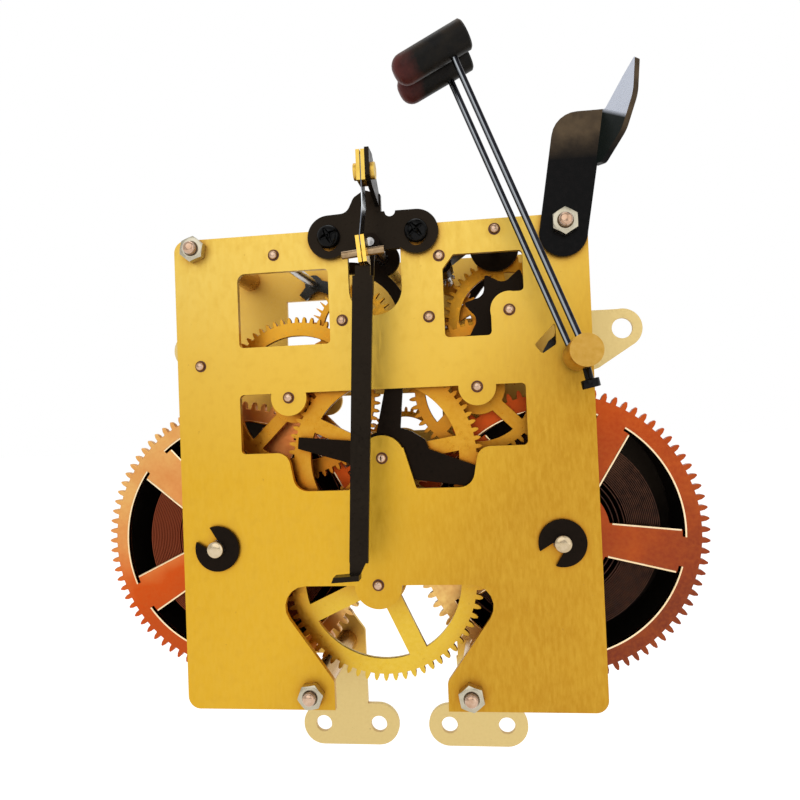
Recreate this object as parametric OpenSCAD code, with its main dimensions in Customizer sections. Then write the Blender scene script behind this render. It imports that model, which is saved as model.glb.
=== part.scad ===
// Spring-driven two-train pendulum clock movement, seen from behind as photographed.
// Millimetres. +X right as seen from behind, +Y from the back plate to the dial side, +Z up.
// The origin lies midway between the two upper lug holes, in the front plate's mounting face.

/* [Plates] */
// Width of both plates
plate_width = 100; // [92:0.5:120]
// Height of both plates
plate_height = 114.7; // [114:0.1:130]
// Thickness of each plate
plate_thickness = 1.5; // [1:0.1:2.5]
// Clear distance between the plates
plate_gap = 40; // [39:0.5:50]
// Radius of the plate corners
plate_corner = 3; // [1:0.5:5]
// Distance of an upper pillar from the plate's side edge
upper_pillar_inset = 5.3; // [5:0.1:9]
// Distance of an upper pillar from the plate's top edge
upper_pillar_drop = 2.6; // [2.4:0.1:6]
// Distance between the two lower pillars
lower_pillar_span = 38; // [37:0.5:40]
// Height of the lower pillars over the plate's bottom edge
lower_pillar_height = 3.7; // [3:0.1:4.5]
// Diameter of the pillars
pillar_diameter = 6; // [5:0.1:7]
// Diameter of the pillar studs
stud_diameter = 3; // [2.5:0.1:3.4]
// Length of a stud past its nut
stud_past_nut = 1.3; // [0.5:0.1:3]
// Width of the nuts across flats
nut_flats = 5.5; // [5:0.1:7]
// Thickness of the nuts
nut_thickness = 2.4; // [1.5:0.1:3]

/* [Lugs and feet] */
// Distance between the two upper lug holes
lug_span = 128; // [120:0.5:140]
// Height of the lug holes over the plate's bottom edge
lug_height = 91.8; // [84:0.1:98]
// Diameter of the lug holes
lug_hole = 5.8; // [4:0.1:7]
// Radius of the lug ends
lug_radius = 5.6; // [5:0.1:8]
// Distance of a foot's middle from the centre line
foot_offset = 18.6; // [17.5:0.1:20]
// Distance between the two holes of a foot
foot_hole_spacing = 16.5; // [15:0.1:18]
// Diameter of the foot holes
foot_hole = 4.7; // [3:0.1:6]
// Depth of the foot holes below the plate's bottom edge
foot_drop = 20.7; // [16:0.1:26]
// Radius of a foot's round ends
foot_radius = 6; // [5:0.1:7.5]
// Width of a foot's stem
foot_stem = 10.4; // [8:0.1:14]

/* [Arbors] */
// Distance between the two winding arbors
barrel_span = 82.4; // [81:0.1:88]
// Height of the winding arbors
barrel_height = 38.8; // [37.5:0.1:40]
// Middle of the intermediate arbor, across and up
intermediate_at = [-2, 29.5]; // [-100:0.1:120]
// Middle of the centre arbor
centre_at = [0, 59.5]; // [-100:0.1:120]
// Middle of the third arbor
third_at = [-22.2, 74.8]; // [-100:0.1:120]
// Middle of the escape arbor
escape_at = [-8.3, 92.8]; // [-100:0.1:120]
// Middle of the pallet arbor
pallet_at = [0, 110]; // [-100:0.1:120]
// Middle of the strike's second arbor
second_at = [23.2, 75.5]; // [-100:0.1:120]
// Middle of the lifting star's arbor
star_at = [31.4, 93.1]; // [-100:0.1:120]
// Middle of the locking arbor
locking_at = [12.6, 92.5]; // [-100:0.1:120]
// Middle of the fly arbor
fly_at = [15.5, 106.8]; // [-100:0.1:120]
// Middle of the lifting lever's arbor
lift_at = [-24.7, 109.6]; // [-100:0.1:120]
// Middle of the locking lever's arbor
lock_at = [28.7, 112.2]; // [-100:0.1:120]
// Distance of the plain stop post from the plate's side edge
stop_inset = 5.9; // [4:0.1:8]
// Height of the plain stop post
stop_height = 83.4; // [80:0.1:87]
// Distance of the hammer arbor from the plate's side edge
hammer_inset = 3.7; // [3.4:0.1:5]
// Height of the hammer arbor
hammer_height = 81.4; // [79:0.1:83]
// Diameter of the train arbors
arbor_diameter = 3; // [2.4:0.1:3.4]
// Diameter of the train pivots
pivot_diameter = 2; // [1.4:0.1:2.2]
// Running clearance round a pivot, on the radius
running_clearance = 0.08; // [0.03:0.01:0.1]
// End play between an arbor's shoulders and the plates
end_play = 0.3; // [0.1:0.05:0.6]
// Length of a pivot past its plate
pivot_past = 0.55; // [0.2:0.05:0.8]

/* [Barrels] */
// Teeth of a great wheel
great_teeth = 84; // [72:1:96]
// Leaves of the pinions that a great wheel drives
great_pinion = 12; // [10:1:14]
// Thickness of a great wheel
great_thickness = 1.8; // [1.2:0.1:2.4]
// Depth of the great wheels behind the back plate's rear face
great_depth = 14.6; // [14:0.1:16]
// Inner radius of a great wheel's rim
great_rim = 30.8; // [29:0.1:31]
// Radius of a great wheel's middle
great_hub = 13; // [9:0.5:15]
// Spokes of a great wheel
great_spokes = 5; // [4:1:6]
// Spoke width at the middle
spoke_inner = 8; // [5:0.1:9]
// Spoke width at the rim
spoke_outer = 10.8; // [7:0.1:12]
// Outer diameter of the barrel drums
drum_diameter = 66.4; // [65:0.1:67]
// Wall of the barrel drums
drum_wall = 1; // [0.6:0.1:1.6]
// Height of the barrel drums
drum_height = 22; // [18:0.1:24]
// Diameter of the winding arbors
winding_diameter = 6; // [5:0.1:7]
// Diameter of the winding arbors inside the drum
core_diameter = 10; // [8:0.1:10.4]
// Diameter of the winding arbors' rear pivot
winding_pivot = 4; // [3:0.1:4.6]
// Winding square across flats
winding_square = 4.2; // [3.5:0.05:4.2]
// Length of the winding square past the ratchet
square_length = 16; // [8:0.5:24]
// Outer diameter of the arbor clips
clip_diameter = 11; // [9:0.1:13]
// Thickness of the arbor clips
clip_thickness = 0.7; // [0.5:0.1:1]
// Thickness of the mainspring strip
strip_thickness = 0.45; // [0.3:0.05:0.5]
// Loose inner turns of a mainspring
loose_turns = 9; // [5:1:9]
// Closer outer turns of a mainspring
close_turns = 8; // [4:1:8]
// Radius where the closer turns begin
close_from = 17.2; // [16:0.1:17.4]
// Radius where the closer turns end
close_to = 24.9; // [24.8:0.1:27]
// Teeth of a ratchet wheel
ratchet_teeth = 18; // [14:1:24]
// Radius of a ratchet wheel
ratchet_radius = 9; // [7:0.1:10]
// Thickness of ratchet wheels and clicks
ratchet_thickness = 1.8; // [1.2:0.1:2.4]

/* [Trains] */
// Teeth of the intermediate wheel
intermediate_teeth = 64; // [52:1:72]
// Leaves of the centre pinion
centre_pinion = 16; // [14:1:20]
// Teeth of the centre wheel
centre_teeth = 72; // [60:1:84]
// Pins of the third arbor's lantern pinion
lantern_pins = 12; // [10:1:14]
// Radius of the lantern pinion's end discs
lantern_disc = 6.2; // [4.5:0.1:6.6]
// Teeth of the third wheel
third_teeth = 64; // [56:1:72]
// Leaves of the escape, star, locking and fly pinions
small_pinion = 8; // [7:1:10]
// Teeth of the escape wheel
escape_teeth = 36; // [30:1:44]
// Radius of the escape wheel
escape_radius = 11; // [10:0.1:11.6]
// Teeth of the strike's second wheel
second_teeth = 48; // [40:1:56]
// Points of the lifting star
star_points = 8; // [6:1:10]
// Radius of the lifting star
star_radius = 11.25; // [9:0.05:11.5]
// Teeth of the star arbor's wheel
star_teeth = 50; // [44:1:56]
// Teeth of the locking wheel
locking_teeth = 48; // [40:1:56]
// Span of the fly
fly_span = 14.4; // [10:0.1:14.6]
// Length of the fly along its arbor
fly_length = 9; // [6:0.1:9.5]
// Thickness of the train wheels
wheel_thickness = 1.4; // [0.8:0.1:1.6]
// Part of the pitch that a wheel tooth fills
tooth_fill = 0.45; // [0.38:0.01:0.46]
// Part of the pitch that a pinion leaf fills
leaf_fill = 0.34; // [0.3:0.01:0.36]

/* [Motion work] */
// Distance of the minute wheel's stud from the centre arbor
motion_distance = 15; // [13.5:0.1:17]
// Direction of the minute wheel's stud from the centre arbor
motion_angle = -42; // [-60:1:-30]
// Diameter of the centre arbor
centre_diameter = 4; // [3.4:0.1:4]
// Length of the centre arbor past the front plate
centre_reach = 21; // [17:0.1:30]
// Diameter of the minute hand's seat
hand_seat = 3.6; // [3:0.1:3.8]
// Length of the minute hand's seat
hand_seat_length = 6; // [4:0.1:8]
// Outer diameter of the cannon pinion's pipe
cannon_diameter = 5.2; // [5:0.1:5.4]
// Outer diameter of the hour wheel's pipe
hour_pipe = 7.8; // [6.6:0.1:9]
// Length of the hour wheel's pipe
hour_pipe_length = 8; // [4:0.1:10]

/* [Suspension] */
// Distance of the pendulum leader behind the back plate
leader_distance = 12; // [9:0.1:16]
// Lean of the pendulum leader as photographed
leader_lean = 3; // [0:0.1:3.5]
// Width of the pendulum leader at the top
leader_top_width = 4.6; // [4.2:0.1:7]
// Width of the pendulum leader at the bottom
leader_low_width = 4.2; // [3.5:0.1:5.5]
// Thickness of the pendulum leader
leader_thickness = 1; // [0.8:0.1:1.6]
// Length of the pendulum leader
leader_length = 63.6; // [50:0.1:70]
// Distance of the suspension spring's bending point below the upper chops
bend_drop = 5.5; // [4:0.1:7]
// Distance from the bending point to the lower chops
bend_to_chops = 6.6; // [5:0.1:8]
// Tilt of the leader's chops and pin
chops_askew = 8; // [0:1:10]
// Distance from the bracket screws up to the upper chops
chops_rise = 8.8; // [8:0.1:10]
// Height of the upper chops
chops_height = 6.8; // [6:0.1:9]
// Thickness of the suspension bracket and the hook bracket
bracket_thickness = 1.5; // [1:0.1:2]
// Distance between the suspension bracket's screws
bracket_screw_span = 21; // [20:0.1:24]
// Distance of the suspension bracket's screws below the plate's top edge
bracket_screw_drop = 2; // [1.6:0.1:3]
// Head diameter of the bracket screws
screw_head = 5.5; // [4.5:0.1:6.5]

/* [Hammers] */
// Distance of the nearer hammer rod from the back plate
near_rod = 6; // [5.8:0.1:8]
// Distance between the two hammer rods
rod_spacing = 9.5; // [8:0.1:12]
// Diameter of the hammer rods
rod_diameter = 1.5; // [1.4:0.1:2.4]
// Sideways offset of the nearer rod
rod_shift = 1.4; // [0:0.1:1.8]
// Distance from the hammer arbor to the middle of the heads
rod_reach = 72.1; // [60:0.1:85]
// Lean of the rods from upright
rod_lean = 21; // [18:0.5:26]
// Diameter of the hammer heads
head_diameter = 6.9; // [5:0.1:8]
// Length of the hammer heads
head_length = 17.5; // [12:0.1:24]
// Part of a head on the right of its rod
head_right = 4.3; // [2:0.1:6]
// Diameter of the hammer hub
hub_diameter = 7; // [6:0.1:9]

/* [Hidden] */
$fn = 64;
// Room left at a cut so that faces never coincide
over = 0.5;
// Clearance of pressed and squared fits
fit = 0.02;

movement_depth = 2 * plate_thickness + plate_gap;
front_inner = plate_thickness + plate_gap;
time_at = [-barrel_span / 2, barrel_height];
strike_at = [barrel_span / 2, barrel_height];
stop_at = [stop_inset - plate_width / 2, stop_height];
hammer_at = [plate_width / 2 - hammer_inset, hammer_height];
arbor_r = arbor_diameter / 2;
pivot_r = pivot_diameter / 2;
pivot_bore = pivot_r + running_clearance;
winding_r = winding_diameter / 2;
drum_r = drum_diameter / 2;
great_front = great_depth + great_thickness;
drum_end = great_front + drum_height;
minute_at = centre_at + motion_distance * [cos(motion_angle), sin(motion_angle)];
upper_pillar = [plate_width / 2 - upper_pillar_inset, plate_height - upper_pillar_drop];
lower_pillar = [lower_pillar_span / 2, lower_pillar_height];
stud_r = stud_diameter / 2;
bracket_screw_height = plate_height - bracket_screw_drop;
chops_low = bracket_screw_height + chops_rise;
bend_height = chops_low - bend_drop;

// Depth of each train wheel behind the back plate's rear face
centre_depth = plate_thickness + 2.1;
intermediate_depth = centre_depth + wheel_thickness + 1.4;
third_depth = intermediate_depth + wheel_thickness + 1.8;
escape_depth = third_depth + wheel_thickness + 3;
star_depth = intermediate_depth + 0.2;
second_depth = third_depth + 0.2;
star_wheel_depth = great_front + 3.6;
locking_depth = star_wheel_depth + wheel_thickness + 3.6;
// How far a pinion reaches past its wheel on each side
pinion_past = 0.9;

// Distance between two points
function gap(a, b) = norm(b - a);
// Direction from one point to another
function way(a, b) = atan2(b[1] - a[1], b[0] - a[0]);
// Module of a wheel and pinion that share a centre distance
function modulus(a, n, b, p) = 2 * gap(a, b) / (n + p);
// Angle of a tooth on the second gear that meshes with the first gear at its angle
function mesh(a, n, turn, b, p) = way(a, b) + 180 - 180 / p + (way(a, b) - turn) * n / p;
function polar(r, t) = r * [cos(t), sin(t)];
// Outline of a gear: root, pitch and tip points for each tooth
function gear(n, m, fill, add, ded, root_wide, turn) =
    let (pitch = n * m / 2, half = 180 / n * fill)
    [for (i = [0 : n - 1])
        for (k = [[-ded * m, -half * root_wide], [0, -half], [add * m, -half * 0.35],
                  [add * m, half * 0.35], [0, half], [-ded * m, half * root_wide]])
            polar(pitch + k[0], turn + i * 360 / n + k[1])];
function wheel_outline(n, m, turn) = gear(n, m, tooth_fill, 1, 1.25, 1.2, turn);
function pinion_outline(n, m, turn) = gear(n, m, leaf_fill, 0.65, 1.4, 1, turn);

great_time_m = modulus(time_at, great_teeth, intermediate_at, great_pinion);
great_strike_m = modulus(strike_at, great_teeth, second_at, great_pinion);
intermediate_m = modulus(intermediate_at, intermediate_teeth, centre_at, centre_pinion);
centre_m = modulus(centre_at, centre_teeth, third_at, lantern_pins);
third_m = modulus(third_at, third_teeth, escape_at, small_pinion);
second_m = modulus(second_at, second_teeth, star_at, small_pinion);
star_m = modulus(star_at, star_teeth, locking_at, small_pinion);
locking_m = modulus(locking_at, locking_teeth, fly_at, small_pinion);
cannon_leaves = 12;
minute_teeth = 36;
minute_leaves = 10;
hour_teeth = 40;
cannon_m = 2 * motion_distance / (cannon_leaves + minute_teeth);
hour_m = 2 * motion_distance / (minute_leaves + hour_teeth);

// Angle of one tooth of each gear, so that every pair is in mesh at rest
intermediate_turn = mesh(time_at, great_teeth, 0, intermediate_at, great_pinion);
centre_turn = mesh(intermediate_at, intermediate_teeth, 0, centre_at, centre_pinion);
third_turn = mesh(centre_at, centre_teeth, 0, third_at, lantern_pins);
escape_turn = mesh(third_at, third_teeth, 0, escape_at, small_pinion);
second_turn = mesh(strike_at, great_teeth, 0, second_at, great_pinion);
star_turn = mesh(second_at, second_teeth, 0, star_at, small_pinion);
locking_turn = mesh(star_at, star_teeth, 0, locking_at, small_pinion);
fly_turn = mesh(locking_at, locking_teeth, 0, fly_at, small_pinion);
minute_turn = mesh(centre_at, cannon_leaves, 0, minute_at, minute_teeth);
hour_turn = mesh(minute_at, minute_leaves, 0, centre_at, hour_teeth);

// Moves the drawing from the back plate's lower edge to the mounting frame
module frame() {
    translate([0, -movement_depth, -lug_height]) children();
}

// A flat piece drawn as seen from behind, from one depth on
module slab(depth, thickness) {
    translate([0, depth + thickness, 0]) rotate([90, 0, 0]) linear_extrude(thickness) children();
}

// A round bar along the depth
module bar(at, from, to, r) {
    translate([at[0], to, at[1]]) rotate([90, 0, 0]) cylinder(h = to - from, r = r);
}

module spot(at) {
    translate(at) children();
}

// A round-cornered rectangle from squares and circles
module rounded(low, high, r) {
    translate([low[0] + r, low[1]]) square([high[0] - low[0] - 2 * r, high[1] - low[1]]);
    translate([low[0], low[1] + r]) square([high[0] - low[0], high[1] - low[1] - 2 * r]);
    for (x = [low[0] + r, high[0] - r])
        for (z = [low[1] + r, high[1] - r])
            translate([x, z]) circle(r);
}

// An outline whose corners, given as across, up and radius, are rounded by short arcs
function turn_of(v) = atan2(v[1], v[0]);
function within(t) = t > 180 ? t - 360 : t < -180 ? t + 360 : t;
function arc(b, u, v, r) =
    let (half = acos(u * v) / 2, middle = b + (u + v) / norm(u + v) * r / sin(half),
         from = turn_of(b + u * r / tan(half) - middle), to = turn_of(b + v * r / tan(half) - middle))
    [for (k = [0 : 6]) middle + polar(r, from + within(to - from) * k / 6)];
function flat(p) = [p[0], p[1]];
function unit(v) = v / norm(v);
function smooth(list) = [for (i = [0 : len(list) - 1])
    let (n = len(list), b = flat(list[i]), r = len(list[i]) > 2 ? list[i][2] : 0,
         u = unit(flat(list[(i + n - 1) % n]) - b), v = unit(flat(list[(i + 1) % n]) - b))
    for (q = r > 0 ? arc(b, u, v, r) : [b]) q];

// The open part of a spoked wheel
module crossing(rim, hub, spokes, inner, outer, turn) {
    difference() {
        circle(rim);
        circle(hub);
        for (i = [0 : spokes - 1])
            rotate(turn + i * 360 / spokes)
                polygon([[0, -inner / 2], [rim + over, -outer / 2], [rim + over, outer / 2], [0, inner / 2]]);
    }
}

// A flat toothed wheel with spokes and a bore
module wheel(outline, bore, rim, hub, spokes, inner, outer, turn) {
    difference() {
        polygon(outline);
        crossing(rim, hub, spokes, inner, outer, turn);
        circle(bore);
    }
}

// A train arbor with its two pivots and a pinion
module arbor(at, outline, from, to) {
    bar(at, plate_thickness + end_play, front_inner - end_play, arbor_r);
    bar(at, -pivot_past, plate_thickness + end_play + over, pivot_r);
    bar(at, front_inner - end_play - over, movement_depth + pivot_past, pivot_r);
    slab(from, to - from) spot(at) polygon(outline);
}

// Both plates

back_bores = [intermediate_at, third_at, escape_at, second_at, star_at, locking_at, fly_at, lift_at, lock_at];
boss_r = 4.4;

module plate_outline() {
    rounded([-plate_width / 2, 0], [plate_width / 2, plate_height], plate_corner);
}

module pillar_holes() {
    for (s = [-1, 1]) {
        translate([s * upper_pillar[0], upper_pillar[1]]) circle(stud_r + 0.1);
        translate([s * lower_pillar[0], lower_pillar[1]]) circle(stud_r + 0.1);
    }
}

// Radius of the windows' corners
window_corner = 1;

// The notch over the intermediate wheel, open at the bottom
module low_notch() {
    difference() {
        polygon(smooth([[-13.5, -1, 0], [-13.5, 6.8, 2], [-29.6, 29.4, 5], [29.6, 29.4, 5], [13.5, 6.8, 2], [13.5, -1, 0]]));
        spot(intermediate_at) circle(boss_r + 1.3);
    }
}

// The wide window over the centre wheel, with its tongue and bosses
module middle_window() {
    c = window_corner;
    difference() {
        polygon(smooth([[-34.4, 75.9, c], [34.4, 75.9, c], [34.4, 61.5, c], [22.9, 61.5, 3.2], [21.2, 52.1, 3.6],
                        [8, 52.1, 0.6], [5.2, 61.8, 0], [-5.2, 61.8, 0], [-8, 52.1, 0.6],
                        [-21.2, 52.1, 3.6], [-22.9, 61.5, 3.2], [-34.4, 61.5, c]]));
        spot(centre_at) circle(boss_r + 1);
        spot(third_at) circle(boss_r);
        spot(second_at) circle(boss_r);
    }
}

module star_window() {
    c = window_corner;
    side = star_at[0] - boss_r + 0.15;
    shelf = star_at[1] + boss_r - 0.15;
    difference() {
        polygon(smooth([[16.2, 87.4, c], [side, 87.4, c], [side, star_at[1], 0], star_at, [star_at[0], shelf, 0],
                        [34.9, shelf, c], [34.9, 106.9, c], [18.8, 106.9, 0.6], [16.2, 103.6, 0.6]]));
        spot(star_at) circle(boss_r);
        spot(fly_at) circle(pivot_r + 1.4);
    }
}

module lever_window() {
    c = window_corner;
    polygon(smooth([[-34.1, 87.4, c], [-34.1, 105.5, 2 * c], [-11.4, 105.5, c], [-11.4, 87.4, c]]));
}

// The window over the hammer's tail
module tail_window() {
    polygon(smooth([[41.7, 89.5, 0.3], [36.8, 84.6, 0.6], [38.5, 82.4, 0.6], [41.8, 84.5, 0.6]]));
}

// The slot that the pallets are seen through
slot_r = 6.4;
slot_low = 93.6;
slot_high = 112;

bush_r = 3.6;
bush_end = centre_depth - 0.4;

module back_plate() color([0.87, 0.68, 0.3]) frame() {
    slab(0, plate_thickness) difference() {
        plate_outline();
        lever_window();
        translate([0, slot_low + slot_r]) circle(slot_r);
        translate([-slot_r, slot_low + slot_r]) square([2 * slot_r, slot_high - slot_low - slot_r]);
        star_window();
        tail_window();
        middle_window();
        low_notch();
        pillar_holes();
        for (p = back_bores) spot(p) circle(pivot_bore);
        for (p = [time_at, strike_at]) spot(p) circle(winding_pivot / 2 + running_clearance);
        spot(centre_at) circle(pivot_bore);
        spot(hammer_at) circle(arbor_r + running_clearance);
        spot(stop_at) circle(pivot_r + fit);
        for (s = [-1, 1]) translate([s * bracket_screw_span / 2, bracket_screw_height]) circle(1.5);
    }
    slab(plate_thickness - 0.01, bush_end - plate_thickness + 0.01) spot(centre_at) difference() {
        circle(bush_r);
        circle(pivot_bore);
    }
}

module lug() {
    x = lug_span / 2;
    edge = plate_width / 2 - 1;
    translate([x, lug_height]) circle(lug_radius);
    polygon([[edge, lug_height + 5.5], [x - 1, lug_height + lug_radius - 0.1],
             [x + lug_radius * 0.5, lug_height - lug_radius * 0.86], [edge + 8, lug_height - 11], [edge, lug_height - 13.5]]);
}

module foot() {
    half = foot_hole_spacing / 2;
    low = -foot_drop;
    translate([foot_offset - half, low - foot_radius]) square([2 * half, 2 * foot_radius]);
    for (s = [-1, 1]) translate([foot_offset + s * half, low]) circle(foot_radius);
    translate([foot_offset - foot_stem / 2, low]) square([foot_stem, foot_drop + 2]);
    polygon([[foot_offset - foot_stem / 2 - 0.5, 2], [foot_offset + foot_stem / 2 + 2, 2],
             [foot_offset + foot_stem / 2, -7], [foot_offset - foot_stem / 2, -7]]);
}

front_bores = [intermediate_at, third_at, escape_at, second_at, star_at, locking_at, fly_at, lift_at, lock_at, pallet_at, hammer_at];

module front_windows() {
    low_notch();
    translate([-33.6, 95]) square([13.6, 10]);
    translate([-34, 88.5]) square([12, 6]);
    translate([19, 97]) square([8, 9.6]);
    difference() {
        translate([-28, 65]) square([40, 11]);
        spot(third_at) circle(boss_r);
        spot(centre_at) circle(boss_r + 2);
    }
}

module front_plate() color([0.88, 0.7, 0.34]) frame() difference() {
    union() {
        slab(front_inner, plate_thickness) plate_outline();
        for (m = [0, 1]) mirror([m, 0, 0]) {
            slab(front_inner, plate_thickness) lug();
            slab(front_inner, plate_thickness) foot();
        }
    }
    slab(front_inner - over, plate_thickness + 2 * over) {
        front_windows();
        pillar_holes();
        for (m = [-1, 1]) {
            translate([m * lug_span / 2, lug_height]) circle(lug_hole / 2);
            for (s = [-1, 1])
                translate([m * (foot_offset + s * foot_hole_spacing / 2), -foot_drop]) circle(foot_hole / 2);
        }
        for (p = front_bores) spot(p) circle(pivot_bore);
        for (p = [time_at, strike_at]) spot(p) circle(winding_r + running_clearance);
        spot(centre_at) circle(centre_diameter / 2 + running_clearance);
        spot(stop_at) circle(pivot_r + fit);
        spot(minute_at) circle(pivot_r + fit);
        for (p = click_pivots) spot(p) circle(pivot_r + fit);
        for (p = click_feet) spot(p) circle(pivot_r + fit);
    }
}

// Pillars and nuts

pillar_places = [[-upper_pillar[0], upper_pillar[1], 0], [upper_pillar[0], upper_pillar[1], bracket_thickness],
                 [-lower_pillar[0], lower_pillar[1], 0], [lower_pillar[0], lower_pillar[1], 0]];

module pillars() color([0.85, 0.67, 0.32]) frame() {
    for (p = pillar_places) {
        bar(p, plate_thickness, front_inner, pillar_diameter / 2);
        bar(p, -p[2] - nut_thickness - stud_past_nut, plate_thickness + over, stud_r);
        bar(p, front_inner - over, movement_depth + nut_thickness + stud_past_nut, stud_r);
    }
}

module nut(at, depth, turn) {
    slab(depth, nut_thickness) spot([at[0], at[1]]) difference() {
        rotate(turn) circle(nut_flats / 2 / cos(30), $fn = 6);
        circle(stud_r + fit);
    }
}

module rear_nuts() color([0.75, 0.75, 0.76]) frame() {
    for (i = [0 : 3]) nut(pillar_places[i], -pillar_places[i][2] - nut_thickness, [20, 30, 8, 40][i]);
}

module front_nuts() color([0.75, 0.75, 0.76]) frame() {
    for (i = [0 : 3]) nut(pillar_places[i], movement_depth, i * 13);
}

// Studs of the front plate: the minute wheel's stud and the plain stop post
minute_stud_r = 1.5;
minute_wheel_from = movement_depth + 1.4;

module studs() color([0.72, 0.72, 0.73]) frame() {
    bar(minute_at, front_inner, movement_depth + 0.1, pivot_r);
    bar(minute_at, movement_depth, movement_depth + 1.2, minute_stud_r + 0.8);
    bar(minute_at, movement_depth, minute_wheel_from + 5.8, minute_stud_r);
    bar(stop_at, -pivot_past, movement_depth, pivot_r);
    bar(stop_at, plate_thickness, front_inner, pivot_r + 0.5);
}

// Clicks on the front plate
click_distance = ratchet_radius + 4.6;
click_way = [95, 85];
click_pivots = [time_at + polar(click_distance, click_way[0]), strike_at + polar(click_distance, click_way[1])];
click_side = [-1, 1];
click_feet = [for (i = [0, 1]) click_pivots[i] + polar(7.5, click_way[i] + click_side[i] * 62)];
click_r = 2.8;
click_pin_r = pivot_r + 0.4;
click_depth = movement_depth + 0.3;

// The beak of a click drawn with its pivot at the origin, the ratchet wheel in the -X direction
module click_beak(side) {
    reach = ratchet_radius + 0.35;
    polygon([[0.2, side * click_r * 0.85], [-0.2, -side * click_r * 0.7],
             [-click_distance + reach * cos(40), -side * (reach * sin(40) + 0.2)],
             [-click_distance + reach * cos(52) - 0.4, -side * (reach * sin(52) + 0.5)],
             [-1.5, -side * (reach * sin(52) + 1.6)],
             [click_r * 0.8, -side * click_r * 0.3]]);
}

module click(i) difference() {
    union() {
        bar(click_pivots[i], click_depth, click_depth + ratchet_thickness, click_r);
        slab(click_depth, ratchet_thickness)
            spot(click_pivots[i]) rotate(click_way[i]) click_beak(click_side[i]);
    }
    bar(click_pivots[i], movement_depth, click_depth + ratchet_thickness + over, click_pin_r + running_clearance);
}

module time_click() color([0.3, 0.3, 0.32]) frame() click(0);
module strike_click() color([0.3, 0.3, 0.32]) frame() click(1);

module click_screws() color([0.7, 0.7, 0.72]) frame() {
    for (p = click_pivots) {
        bar(p, front_inner, movement_depth, pivot_r);
        bar(p, movement_depth, click_depth + ratchet_thickness + 0.3, click_pin_r);
        difference() {
            bar(p, click_depth + ratchet_thickness + 0.2, click_depth + ratchet_thickness + 1.4, click_r - 0.3);
            slab(click_depth + ratchet_thickness + 0.9, 2) spot(p) square([8, 0.7], center = true);
        }
    }
}

// Leaf springs that stand over the clicks' backs
module click_springs() color([0.55, 0.55, 0.58]) frame() {
    for (i = [0, 1]) {
        bar(click_feet[i], front_inner, click_depth + ratchet_thickness, pivot_r);
        slab(click_depth, ratchet_thickness * 0.8) spot(click_feet[i]) {
            circle(1.7);
            rotate(click_way[i] + click_side[i] * 62 + 180 - click_side[i] * 34)
                translate([0, -0.2]) square([5.2, 0.4]);
        }
    }
}

// Going barrels

// The narrow slits that carry each window's outer edge on into the spokes
slit_length = 1.8;
slit_width = 0.7;

module great_wheel(at, m, spoke_turn) {
    slit_spoke = spoke_outer - 2 * slit_length;
    slab(great_depth, great_thickness) spot(at) difference() {
        wheel(wheel_outline(great_teeth, m, 0), winding_r + running_clearance,
              great_rim, great_hub, great_spokes, spoke_inner * 0.85, spoke_outer, spoke_turn);
        crossing(great_rim, great_rim - slit_width, great_spokes, slit_spoke, slit_spoke, spoke_turn);
    }
}

module time_great_wheel() color([0.75, 0.48, 0.3]) frame() great_wheel(time_at, great_time_m, 209);
module strike_great_wheel() color([0.75, 0.48, 0.3]) frame() great_wheel(strike_at, great_strike_m, -10);

module drum(at) {
    difference() {
        bar(at, great_front, drum_end, drum_r);
        bar(at, great_front - over, drum_end - drum_wall, drum_r - drum_wall);
        bar(at, great_front, drum_end + over, winding_r + running_clearance);
    }
}

module time_barrel_drum() color([0.1, 0.1, 0.1]) frame() drum(time_at);
module strike_barrel_drum() color([0.1, 0.1, 0.1]) frame() drum(strike_at);

// The mainspring strip: loose turns, closer turns, then one turn out to the drum
spring_from = core_diameter / 2 + 0.35 + strip_thickness / 2;
spring_to = drum_r - drum_wall - 0.2 - strip_thickness / 2;
outer_turn = 1.1;
spring_turns = loose_turns + close_turns + outer_turn;
function spring_r(t) =
    t < loose_turns ? spring_from + (close_from - spring_from) * t / loose_turns
    : t < loose_turns + close_turns ? close_from + (close_to - close_from) * (t - loose_turns) / close_turns
    : close_to + (spring_to - close_to) * (t - loose_turns - close_turns) / outer_turn;
turn_steps = 24;
spring_steps = floor(spring_turns * turn_steps);
function spring_edge(side, hand) = [for (i = [0 : spring_steps])
    polar(spring_r(i / turn_steps) + side * strip_thickness / 2, hand * i * 360 / turn_steps)];
function reversed(list) = [for (i = [len(list) - 1 : -1 : 0]) list[i]];
spring_gap = min([for (i = [0 : spring_steps - turn_steps])
    spring_r(i / turn_steps + 1) - spring_r(i / turn_steps) - strip_thickness]) * cos(180 / turn_steps);
echo(str("least gap between mainspring turns: ", spring_gap, " mm"));

module mainspring(at, hand) {
    slab(great_front + 0.5, drum_height - drum_wall - 1)
        spot(at) polygon(concat(spring_edge(1, hand), reversed(spring_edge(-1, hand))));
}

module time_mainspring() color([0.2, 0.17, 0.14]) frame() mainspring(time_at, 1);
module strike_mainspring() color([0.2, 0.17, 0.14]) frame() mainspring(strike_at, -1);

ratchet_from = movement_depth + 0.3;
ratchet_to = ratchet_from + ratchet_thickness;
clip_from = -0.2 - clip_thickness;

module winding_arbor(at) {
    groove_r = winding_pivot / 2 - 0.3;
    bar(at, plate_thickness + end_play, ratchet_from - 0.05, winding_r);
    bar(at, great_front + 0.2, drum_end - drum_wall - 0.2, core_diameter / 2);
    bar(at, 0, plate_thickness + end_play + over, winding_pivot / 2);
    bar(at, clip_from - 0.05, 0.1, groove_r);
    bar(at, clip_from - 1.2, clip_from - 0.05, winding_pivot / 2);
    slab(ratchet_from - over, ratchet_thickness + square_length + over) spot(at) square(winding_square, center = true);
}

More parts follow.
